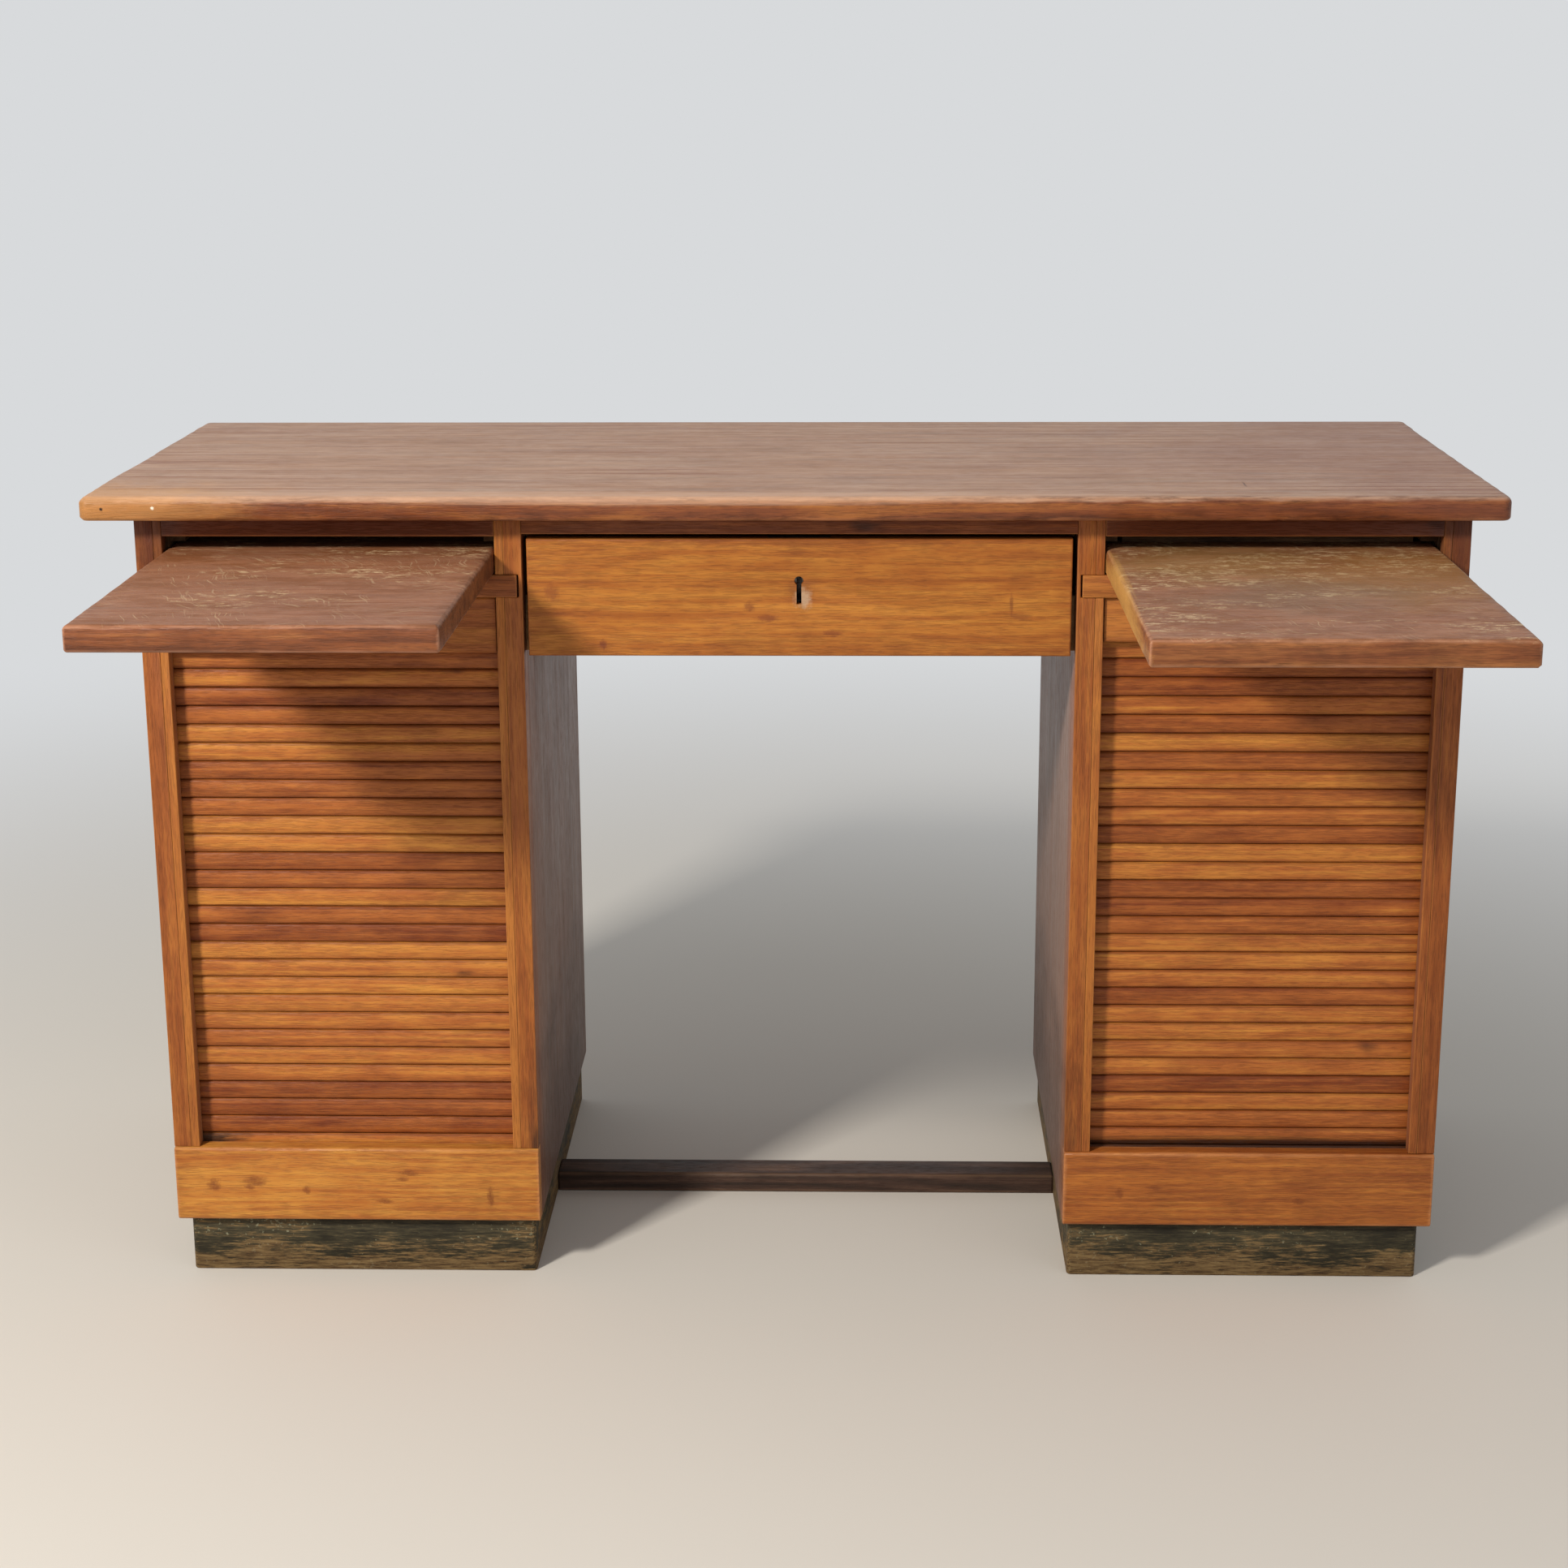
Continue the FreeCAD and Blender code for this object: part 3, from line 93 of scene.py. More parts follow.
# %% [markdown]
# ## Camera
# The camera stands a little right of the desk's middle, at eye height, and looks down by fifteen
# degrees. Its rotation is written as three axes, because a small roll is easier to read that way:
# right, up and back are the columns of the camera's matrix.

# %% Camera
CAMERA_PLACE = Vector((0.0537, -2.558, 1.179))
CAMERA_YAW = -0.0272
CAMERA_PITCH = 0.2627
CAMERA_ROLL = -0.0046
LENS = 63.51


def aimed(yaw, pitch, roll):
    """The camera's rotation: yaw from +Y, pitch down, then roll about the line of sight."""
    ahead = Vector((math.sin(yaw) * math.cos(pitch), math.cos(yaw) * math.cos(pitch),
                    -math.sin(pitch)))
    right = Vector((math.cos(yaw), -math.sin(yaw), 0))
    up = right.cross(ahead)
    rolled_right = right * math.cos(roll) + up * math.sin(roll)
    rolled_up = up * math.cos(roll) - right * math.sin(roll)
    return Matrix((rolled_right, rolled_up, -ahead)).transposed()


camera = bpy.data.objects.new("camera", bpy.data.cameras.new("camera"))
scene.collection.objects.link(camera)
camera.data.sensor_width = 36
camera.data.lens = LENS
camera.location = CAMERA_PLACE
camera.rotation_euler = aimed(CAMERA_YAW, CAMERA_PITCH, CAMERA_ROLL).to_euler()
scene.camera = camera
scene.view_settings.view_transform = "Standard"
print("camera at", tuple(camera.location))

# %% [markdown]
# ## Writing node trees as expressions
# A finish is easier to read as arithmetic than as a web of nodes. `Value` wraps one output socket,
# and its operators add the Math node they stand for, so `1 - mask * 0.5` works on sockets as it
# does on numbers. `Tree.add` puts in every other node: its kind, its settings, then its sockets.

# %% Values and trees
class Value:
    """One output of a node. Arithmetic on it adds Math nodes to its tree."""

    def __init__(self, tree, socket):
        self.tree = tree
        self.socket = socket

    def maths(self, operation, *others):
        terms = dict(enumerate((self, *others)))
        return self.tree.add("ShaderNodeMath", {"operation": operation}, terms)

    def __add__(self, other):
        return self.maths("ADD", other)

    def __sub__(self, other):
        return self.maths("SUBTRACT", other)

    def __rsub__(self, other):
        return self.maths("MULTIPLY_ADD", -1.0, other)

    def __mul__(self, other):
        return self.maths("MULTIPLY", other)

    def __truediv__(self, other):
        return self.maths("DIVIDE", other)

    __radd__ = __add__
    __rmul__ = __mul__

    def at_most(self, other):
        return self.maths("MINIMUM", other)

    def at_least(self, other):
        return self.maths("MAXIMUM", other)

    def size(self):
        return self.maths("ABSOLUTE")

    def sine(self):
        return self.maths("SINE")


class Tree:
    """A node tree that is being written."""

    def __init__(self, node_tree):
        self.node_tree = node_tree

    def add(self, kind, settings, sockets, output=0):
        """Adds a node: first its settings, then a number or a Value for each named socket."""
        node = self.node_tree.nodes.new(kind)
        for name, setting in settings.items():
            if name == "stops":
                set_stops(node.color_ramp, setting)
            else:
                setattr(node, name, setting)
        for key, given in sockets.items():
            self.plug(node.inputs[key], given)
        return Value(self, node.outputs[output])

    def plug(self, socket, given):
        """Gives a socket a number, a link, or one link for each Value in a list."""
        if isinstance(given, (Value, list)):
            for value in given if isinstance(given, list) else [given]:
                self.node_tree.links.new(value.socket, socket)
        else:
            socket.default_value = given


def set_stops(ramp, stops):
    """Writes a colour ramp's stops, each a place from 0 to 1 and a colour."""
    while len(ramp.elements) < len(stops):
        ramp.elements.new(1)
    for element, (place, colour) in zip(ramp.elements, stops):
        element.position = place
        element.color = colour


def colour(code):
    """A colour written as six hexadecimal digits, as Blender's linear values."""
    parts = [int(code[i:i + 2], 16) / 255 for i in (0, 2, 4)]
    linear = [c / 12.92 if c <= 0.04045 else ((c + 0.055) / 1.055) ** 2.4 for c in parts]
    return (*linear, 1)


print("values and trees are ready")

# %% [markdown]
# ## What every finish can ask for
# A board's grain runs along the board, whichever way the board stands, and its wear follows its
# arrises. So each piece carries a few attributes, one value for each separate board in it: the
# lowest and highest corner of that board, the direction of its grain and its tone. With them one
# finish serves boards of every direction, no two boards share a pattern, and the distance to the
# nearest arris is exact at any size: of the three distances to the board's box, it is the middle
# one, because the smallest is always the face itself.

# %% What a finish can ask for
APART = (7.3, 5.1, 9.7)


class Finish(Tree):
    """A material that is being written, with the coordinates of the board it is on."""

    def __init__(self, name):
        self.material = bpy.data.materials.new(name)
        self.material.use_nodes = True
        super().__init__(self.material.node_tree)
        self.surface = self.node_tree.nodes["Principled BSDF"]
        self.place = self.add("ShaderNodeTexCoord", {}, {}, "Object")
        self.low = self.attribute("board_low", "Vector")
        self.high = self.attribute("board_high", "Vector")
        self.grain = self.attribute("board_grain", "Vector")
        self.tone = self.attribute("board_tone", "Fac")
        self.own_place = self.vector("MULTIPLY_ADD", self.low, APART, self.place)
        self.lengthwise = self.vector("DOT_PRODUCT", self.own_place, self.grain, output="Value")

    def attribute(self, name, output):
        return self.add("ShaderNodeAttribute", {"attribute_name": name}, {}, output)

    def vector(self, operation, *terms, output="Vector"):
        settings = {"operation": operation}
        return self.add("ShaderNodeVectorMath", settings, dict(enumerate(terms)), output)

    def scaled(self, vector, factor):
        return self.add("ShaderNodeVectorMath", {"operation": "SCALE"},
                        {0: vector, "Scale": factor}, "Vector")

    def part(self, vector, axis):
        return self.add("ShaderNodeSeparateXYZ", {}, {0: vector}, axis)

    def with_grain(self, along, across):
        """Coordinates that repeat every `along` metres with the grain and `across` over it."""
        drawn_out = self.scaled(self.grain, self.lengthwise * (1 / along - 1 / across))
        return self.vector("ADD", self.scaled(self.own_place, 1 / across), drawn_out)

    def noise(self, coordinates, detail=2.0, roughness=0.5):
        sockets = {"Vector": coordinates, "Scale": 1.0, "Detail": detail,
                   "Roughness": roughness}
        return self.add("ShaderNodeTexNoise", {}, sockets)

    def grained(self, along, across, detail=2.0, roughness=0.5):
        """Noise that is drawn out along the grain."""
        return self.noise(self.with_grain(along, across), detail, roughness)

    def cloudy(self, scale, detail=2.0, roughness=0.5):
        """Noise that is the same in every direction."""
        return self.noise(self.scaled(self.own_place, scale), detail, roughness)

    def cells(self, coordinates, output="Distance"):
        sockets = {"Vector": coordinates, "Scale": 1.0}
        return self.add("ShaderNodeTexVoronoi", {"feature": "F1"}, sockets, output)

    def rise(self, value, low, high):
        """0 below low and 1 above high, with a smooth step between them."""
        sockets = {"Value": value, "From Min": low, "From Max": high}
        return self.add("ShaderNodeMapRange", {"interpolation_type": "SMOOTHSTEP"}, sockets)

    def blend(self, factor, first, second):
        """The first colour where the factor is 0, and the second where it is 1."""
        sockets = {0: factor, 6: first, 7: second}
        return self.add("ShaderNodeMix", {"data_type": "RGBA"}, sockets, 2)

    def to_arris(self):
        """The distance in metres to the nearest arris of the board."""
        above = self.vector("SUBTRACT", self.place, self.low)
        below = self.vector("SUBTRACT", self.high, self.place)
        inside = self.vector("MINIMUM", above, below)
        x, y, z = (self.part(inside, axis) for axis in "XYZ")
        return x.at_most(y).at_least(x.at_least(y).at_most(z))

    def facing(self, axis):
        """How much the surface looks along the X, Y or Z axis, from -1 to 1."""
        normal = self.add("ShaderNodeNewGeometry", {}, {}, "Normal")
        return self.part(normal, axis)

    def spot(self, centre, reach):
        """1 at a place on the desk, falling raggedly to 0 where it reaches, in metres each way."""
        away = self.vector("SUBTRACT", self.place, centre)
        share = self.vector("DIVIDE", away, reach)
        ragged = self.noise(self.scaled(share, 1.8), detail=5, roughness=0.7)
        distance = self.vector("LENGTH", share, output="Value") + (ragged - 0.5) * 1.5
        return 1 - self.rise(distance, 0.3, 0.95)

    def done(self, tint, roughness, bump, bump_depth, specular=0.5):
        """Gives the surface its colour, roughness and bump."""
        self.plug(self.surface.inputs["Base Color"], tint)
        self.plug(self.surface.inputs["Roughness"], roughness)
        self.plug(self.surface.inputs["Specular IOR Level"], specular)
        relief = self.add("ShaderNodeBump", {}, {"Height": bump, "Strength": 1.0,
                                                 "Distance": bump_depth}, "Normal")
        self.plug(self.surface.inputs["Normal"], relief)
        return self.material


print("finishes can be written")

# %% [markdown]
# ## Grain
# Old oak, seen close, is several patterns on top of each other. The year rings are cut into long
# lines or flames, which the distance from a warped heart line gives. Pores are short dark dashes,
# and knots are rare dark eyes. Each is a function that gives a mask from 0 to 1.

# %% Patterns of the grain
RING_SPACE = 0.0065


def year_rings(board):
    """Light and dark lines of the year rings."""
    warp = board.grained(0.9, 0.09, detail=2)
    wander = board.grained(0.25, 0.03, detail=1)
    along = board.scaled(board.grain, board.lengthwise)
    across = board.vector("SUBTRACT", board.own_place, along)
    centred = board.vector("FRACTION", board.scaled(across, 1.6))
    from_heart = board.vector("DISTANCE", centred, (0.5, 0.5, 0.5), output="Value")
    ripe = from_heart * 0.62 + warp * 0.075 + wander * 0.012 + board.lengthwise * 0.006
    return (ripe * (2 * math.pi / RING_SPACE)).sine() * 0.5 + 0.5


def open_pores(board):
    """Short dark dashes that follow the grain."""
    fine = board.grained(0.014, 0.00075, detail=1)
    crowd = board.grained(0.3, 0.012, detail=1)
    return board.rise(fine + crowd * 0.35, 0.68, 0.82)


def knots(board, share):
    """Rare dark eyes in the grain. Share is the part of the cells that has one."""
    field = board.with_grain(0.085, 0.03)
    wobble = board.grained(0.02, 0.006, detail=2)
    near = board.cells(field) + wobble * 0.25
    lot = board.part(board.cells(field, output="Color"), "X")
    return (1 - board.rise(near, 0.17, 0.36)) * board.rise(lot, 1 - share, 1.02 - share)


print("grain can be drawn")

# %% [markdown]
# ## Timber
# `Timber` is the board before the years got at it. Broad streaks, mottle, fine fibres and year
# rings add up to a level, which a ramp turns into the wood's own dark, middle and light brown, and
# pores, knots and stains darken it. The patterns are kept, because wear follows them too: `lay`
# puts one more colour over the board wherever a mask says.

# %% Timber
BLACKENED = "2A140A"


class Timber(Finish):
    """A board of oak, with its patterns and the colour and relief that they make together."""

    def __init__(self, name, shades, rings, streaks, knotty, stains, fine):
        super().__init__(name)
        self.middle = shades[1]
        self.streak = self.grained(0.6, 0.02, detail=4, roughness=0.52)
        self.mottle = self.grained(0.05, 0.016, detail=5, roughness=0.62)
        self.fibre = self.grained(0.035, 0.0011, detail=3, roughness=0.7)
        self.lines = self.grained(0.4, fine, detail=4, roughness=0.62)
        self.patchy = self.grained(0.3, 0.05, detail=5, roughness=0.6)
        self.blotch = self.cloudy(11, detail=4, roughness=0.65)
        self.upward = self.rise(self.facing("Z") + (self.mottle - 0.5) * 0.9, 0.35, 0.85)
        self.pores = open_pores(self)
        ring = year_rings(self)
        eyes = knots(self, knotty)
        level = ((self.streak - 0.5) * (streaks * 2.2) + (ring - 0.5) * rings
                 + (self.fibre - 0.5) * 0.36 + (self.mottle - 0.5) * 0.6
                 + (self.lines - 0.5) * 0.7 + self.tone * 0.3 + 0.5)
        stops = list(zip((0.12, 0.5, 0.88), map(colour, shades)))
        self.tint = self.add("ShaderNodeValToRGB", {"stops": stops}, {0: level}, "Color")
        self.lay(self.pores * 0.24, BLACKENED)
        self.lay(eyes * 0.7, BLACKENED)
        self.lay(self.rise(self.blotch, 0.52, 0.78) * stains, BLACKENED)
        self.relief = self.fibre * 0.35 + ring * 0.15 - self.pores * 0.55 - eyes * 0.3

    def lay(self, mask, tint):
        """Lays a colour over the board's own wherever, and as far as, the mask says."""
        self.tint = self.blend(mask, self.tint, colour(tint))


print("timber is ready")

# %% [markdown]
# ## Wear and painted light
# Then comes the desk's age, and with it some painted light. Side faces are tinted grey as painted
# shade, top faces fade and carry a painted sheen of the sky, keep their varnish only in patches and
# are rubbed through in specks, arrises get a pale or dark band, which is wear on most boards, a
# painted highlight on the slides and painted shade in the grooves between the slats, and gather
# grime, and scratches run over it all. Each kind is a function of the board, its colour and how
# strong it is, and `WEAR_AND_PAINTED_LIGHT` names them in the order in which they lie on each other.

# %% Wear and painted light
FRONT = -0.0475


def painted_side_shade(board, tint, amount):
    """Painted shade: faces that look sideways, behind the front, tinted grey as if shaded under a
    cool sky.
    """
    sideways = board.rise(board.facing("X").size(), 0.55, 0.9)
    depth = board.part(board.place, "Y") + board.streak * 0.06
    behind = board.rise(depth, FRONT, FRONT + 0.12)
    uneven = board.rise(board.streak, 0.3, 0.7) * 0.3 + 0.7
    board.lay(sideways * behind * uneven * amount, tint)


def faded_and_sky_sheen(board, tint, amount):
    """Top faces faded paler, partly real bleaching by light and partly a painted sheen of the sky,
    with the middle brown left in the grain's lines.
    """
    uneven = board.rise(board.patchy + board.mottle * 0.6, 0.55, 1.05) * 0.45 + 0.55
    board.lay(board.upward * uneven * amount, tint)
    shows = board.rise(board.lines + (board.patchy - 0.5) * 0.5, 0.48, 0.7)
    board.lay(shows * board.upward * 0.7, board.middle)


def patched(board, tint, amount):
    """Varnish left in patches on top faces."""
    left_on = board.grained(0.07, 0.035, detail=6, roughness=0.75)
    patches = board.rise(left_on + board.tone * 0.04, 0.46, 0.56)
    board.lay(patches * board.upward * amount, tint)


def worn(board, tint, amount):
    """Pale specks along the grain of top faces, crowded towards the back."""
    crowd = board.grained(0.1, 0.06, detail=4, roughness=0.6)
    crowd = crowd + (board.part(board.place, "Y") + 0.2) * 0.45
    specks = board.grained(0.012, 0.006, detail=4, roughness=0.8)
    eased = board.tone * 0.1
    bare = board.rise(specks, 0.5, 0.62) * board.rise(crowd, 0.47 - eased, 0.62 - eased)
    board.lay(board.upward * bare * amount, tint)


def arris_wear_and_painted_light(board, tint, width, amount):
    """A ragged band along the arrises, pale or dark: wear on most boards, a painted highlight on the
    slides and painted shade in the grooves between the slats.
    """
    ragged = board.grained(0.05, 0.012, detail=3)
    band = 1 - board.rise(board.to_arris(), 0.0, ragged * 2 * width)
    board.lay(band * amount, tint)


def grimy(board, tint, width, amount):
    """Dark flecks that gather in a band along the arrises."""
    flecks = board.grained(0.03, 0.005, detail=4, roughness=0.7)
    band = 1 - board.rise(board.to_arris(), width * 0.2, width)
    board.lay(board.rise(flecks, 0.45, 0.7) * band * amount, tint)


def scratches(board, turn, amount):
    """Thin scores in one direction, slightly bent and gathered in patches, from 0 to 1."""
    sockets = {"Vector": board.own_place, "Scale": 16.0}
    bend = board.add("ShaderNodeTexNoise", {}, sockets, "Color")
    bent = board.vector("MULTIPLY_ADD", bend, (0.03, 0.03, 0.0), board.own_place)
    turned = board.add("ShaderNodeMapping", {"vector_type": "TEXTURE"}, {
        "Vector": bent, "Rotation": (0, 0, turn), "Scale": (40 * MM, 1.4 * MM, 9 * MM)})
    line = board.noise(turned, detail=0)
    own_patch = board.vector("ADD", board.scaled(board.own_place, 17), (turn * 9, 0, 0))
    patch = board.noise(own_patch, detail=3)
    ease = amount * 0.3
    return board.rise(line, 0.66, 0.76) * board.rise(patch, 0.82 - ease, 0.98 - ease)


def scored(board, tint, amount):
    """Scratches in three directions, cut into top faces."""
    cuts = sum(scratches(board, turn, amount) for turn in (0.5, -0.9, 1.9))
    cuts = cuts.at_most(1.0) * board.upward
    board.lay(cuts * 0.4, tint)
    board.relief = board.relief - cuts * 0.5


WEAR_AND_PAINTED_LIGHT = {"painted_side_shade": painted_side_shade, "faded_and_sky_sheen": faded_and_sky_sheen, "patched": patched, "worn": worn,
         "arris_wear_and_painted_light": arris_wear_and_painted_light, "grimy": grimy, "scored": scored}
print("kinds of wear:", list(WEAR_AND_PAINTED_LIGHT))

# %% [markdown]
# ## Wood
# `wood` puts the two together: the timber, the kinds of wear and painted light that are asked for
# by name, and last the spots, which are single marks at a place of their own; some spots are
# painted light or painted shade.

# %% Wood
def wood(name, shades, rings=0.2, streaks=0.35, knotty=0.1, stains=0.25, fine=3.5 * MM,
         roughness=0.45, spots=(), **wear_and_light):
    """A board's finish. Shades run from dark to light, fine is the width of the grain's lines,
    spots are (place, reach, colour, amount), some of them painted shade or light, and
    wear_and_light holds the terms of each kind of wear and painted light."""
    board = Timber(name, shades, rings, streaks, knotty, stains, fine)
    for kind, wear in WEAR_AND_PAINTED_LIGHT.items():
        if kind in wear_and_light:
            wear(board, *wear_and_light[kind])
    for place, reach, tint, amount in spots:
        board.lay(board.spot(place, reach) * amount, tint)
    dull = ((board.fibre - 0.5) * 0.25 + board.pores * 0.2 + board.blotch * 0.22
            + (roughness - 0.11))
    return board.done(board.tint, dull, board.relief, 0.25 * MM, specular=0.3)


print("wood is ready")

# %% [markdown]
# ## The desk's own finishes
# One finish for each slot of the record. They are the same timber, but age treated every group
# differently: the top and slides faded and rubbed, with a painted sheen of the sky on their upper
# faces and a painted highlight on the slides' arrises, the carcase kept its orange varnish, with
# painted shade under the top and at the foot of the kneehole, the sides of the kneehole are tinted
# grey as painted shade, and the plinth's black paint wore through to the wood.

# %% Marks
TOP_EDGE = -0.0775
TOP_FACE = 0.78
SLIDE_FACE = 0.726
KNEE_SIDE = 0.255
PEDESTAL = 0.435
OUTER_PANEL = 0.606


def figure(x, z, wide, tall, amount=0.55):
    """A small dark mark in the drawer front's figure."""
    return ((x, FRONT, z), (wide * MM, 3 * MM, tall * MM), "6A2E1A", amount)


def speck(x, z, tint):
    """A speck on the top's front edge."""
    return ((x, TOP_EDGE, z), (2.2 * MM, 2.2 * MM, 2.2 * MM), tint, 1.0)


def fleck(x, z, wide, tall):
    """A dark fleck in a base board's face."""
    return ((x, FRONT, z), (wide * MM, 9 * MM, tall * MM), "743A16", 0.75)


def on_slide(x, y, wide, deep, tint, amount):
    """A stain on the right slide's upper face."""
    return ((x, y, SLIDE_FACE), (wide, deep, 0.05), tint, amount)


def painted_shade_at_foot(x):
    """Painted shade: the foot of a kneehole side, darker towards the floor."""
    return ((x, 0.2, 0.02), (0.03, 0.6, 0.26), "3A2218", 0.62)


def dirt_and_shade_at_head(x):
    """The head of an outer panel, darker from dirt and from painted shade under the top's overhang.
    """
    return ((x, FRONT, 0.76), (0.05, 0.05, 0.13), "4A2012", 0.75)


def painted_shade_on_bearer(x):
    """Painted shade: a bearer darkened where a slide runs over it, so the opening over the slide
    looks dark.
    """
    return ((x, 0.12, 0.705), (0.5, 0.34, 0.06), "1C140E", 0.85)


def painted_shade_in_slot(x, reach):
    """Painted shade: the foot of a curtain darkened where it sinks behind the base board."""
    return ((x, -0.03, 0.136), (reach, 0.05, 0.011), "1E0E08", 0.9)


def pair(mark, x):
    """The same mark on the left and on the right."""
    return mark(-x), mark(x)


TOP_MARKS = (
    ((-0.667, TOP_EDGE, 0.77), (0.24, 0.14, 0.08), "DB9E58", 0.42),  # painted light: the left end lit golden
    ((0.62, 0.25, TOP_FACE), (0.42, 0.42, 0.1), "7E4A3C", 0.34),  # the right end darker
    ((-0.2, TOP_EDGE + 0.012, 0.781), (0.75, 0.03, 0.012), "D8AC8C", 0.5),  # pale front arris, worn by sleeves and partly a painted highlight
    ((0.412, -0.002, TOP_FACE), (1.5 * MM, 20 * MM, 3 * MM), "4A2C22", 0.7),  # cut of a knife
    speck(-0.635, 0.769, "1E0E08"), speck(-0.588, 0.770, "EFE3D0"))
BASE_MARKS = (
    fleck(-0.535, 0.099, 16, 7), fleck(-0.541, 0.093, 8, 4), fleck(-0.485, 0.090, 6, 6),
    fleck(-0.576, 0.095, 10, 9), fleck(-0.383, 0.109, 14, 5), fleck(-0.39, 0.102, 9, 3),
    fleck(-0.408, 0.079, 12, 4), fleck(-0.304, 0.084, 5, 14), fleck(0.311, 0.092, 6, 8),
    fleck(0.345, 0.098, 12, 3), fleck(0.485, 0.085, 9, 5))
DRAWER_MARKS = (
    ((0.002, FRONT, 0.686), (17 * MM, 9 * MM, 19 * MM), "75401C", 0.45),  # scar of a lock plate
    ((0.004, FRONT, 0.681), (11 * MM, 9 * MM, 13 * MM), "BFA588", 0.6),  # bare wood in the scar
    figure(-0.046, 0.673, 7, 6), figure(-0.029, 0.662, 14, 5), figure(0.031, 0.648, 13, 5),
    figure(0.196, 0.675, 2.5, 14), figure(0.205, 0.664, 15, 5, 0.4),
    figure(-0.229, 0.686, 10, 11, 0.5), figure(-0.182, 0.637, 5, 7, 0.7))
SLIDE_MARKS = (
    ((0.280, -0.2, 0.714), (12 * MM, 0.28, 30 * MM), "CE9A52", 0.8),  # pale side arris
    on_slide(0.54, -0.16, 0.16, 0.2, "9C7030", 0.4),
    on_slide(0.37, -0.1, 0.14, 0.14, "A08044", 0.32),
    on_slide(0.43, -0.26, 0.14, 0.11, "80705A", 0.3))
print("marks:", sum(map(len, (TOP_MARKS, BASE_MARKS, DRAWER_MARKS, SLIDE_MARKS))))

# %% [markdown]
# Every shade below is a wood's own colour under its varnish, and every kind of wear and painted
# light is given as its colour, its width where it follows an arris, and its strength.

# %% Wood finishes
WOODS = {
    "top_wood": dict(
        shades=("4E2818", "7E4526", "A3652F"), streaks=0.4, knotty=0.05, fine=7 * MM,
        faded_and_sky_sheen=("C29E84", 0.88), arris_wear_and_painted_light=("B87A4E", 4 * MM, 0.5), scored=("CDAA90", 0.3),
        grimy=("3E1D10", 14 * MM, 0.65), spots=TOP_MARKS),
    "carcase_wood": dict(
        shades=("6E3410", "965222", "B26E2E"), rings=0.12, streaks=0.24, knotty=0.08,
        painted_side_shade=("86756C", 0.85), arris_wear_and_painted_light=("C0803F", 1.6 * MM, 0.3),
        spots=pair(painted_shade_at_foot, KNEE_SIDE) + pair(dirt_and_shade_at_head, OUTER_PANEL)),
    "base_wood": dict(
        shades=("84421A", "AB6528", "CD8F3C"), rings=0.1, streaks=0.22, knotty=0.1,
        painted_side_shade=("7C6C64", 0.6), arris_wear_and_painted_light=("C58655", 4 * MM, 0.55),
        grimy=("7A3C18", 16 * MM, 0.4), spots=BASE_MARKS),
    "drawer_wood": dict(
        shades=("7A3C14", "A05C20", "BF7D30"), rings=0.12, streaks=0.26, knotty=0.08,
        arris_wear_and_painted_light=("8E4A20", 3 * MM, 0.4), grimy=("6E3414", 20 * MM, 0.4), spots=DRAWER_MARKS),
    # The slats' dark arris band is painted shade in the grooves between them.
    "slat_wood": dict(
        shades=("743410", "A85F28", "CC8838"), rings=0.1, streaks=0.2, knotty=0.05,
        arris_wear_and_painted_light=("5E2810", 3.4 * MM, 0.62), spots=(painted_shade_in_slot(PEDESTAL, 0.6), painted_shade_in_slot(-0.6, 0.08))),
    # The slides' pale arris band is a painted highlight along their arrises.
    "slide_wood": dict(
        shades=("4E2A1A", "804828", "A3683A"), rings=0.12, streaks=0.4, knotty=0.06,
        stains=0.4, fine=7 * MM, faded_and_sky_sheen=("AE7A5A", 0.7), patched=("7E4A24", 0.6),
        worn=("DCBC90", 0.8), arris_wear_and_painted_light=("C48E70", 3 * MM, 0.65),
        grimy=("4A2818", 14 * MM, 0.45), scored=("D2B48C", 1.0), spots=SLIDE_MARKS),
    "inner_wood": dict(
        shades=("7A5638", "966C44", "AE8458"), knotty=0.12, roughness=0.6,
        arris_wear_and_painted_light=("7C5C3E", 2 * MM, 0.3), spots=pair(painted_shade_on_bearer, PEDESTAL)),
    "foot_rail_wood": dict(
        shades=("2E221B", "453127", "6A5040"), rings=0.3, knotty=0.1, roughness=0.6,
        arris_wear_and_painted_light=("7A5E46", 4 * MM, 0.5)),
}
finishes = {name: wood(name, **terms) for name, terms in WOODS.items()}
print("wood finishes:", sorted(finishes))

# %% [markdown]
# Paint on the plinth is thin and brittle. It holds in the upper half, and shoes and mops have worn
# it off near the floor, in streaks along the board. So the mask is a noise drawn out along the
# grain, with more wood showing where the board is lower.

# %% Plinth paint, cloth and metals
THREAD_SPACE = 0.9 * MM


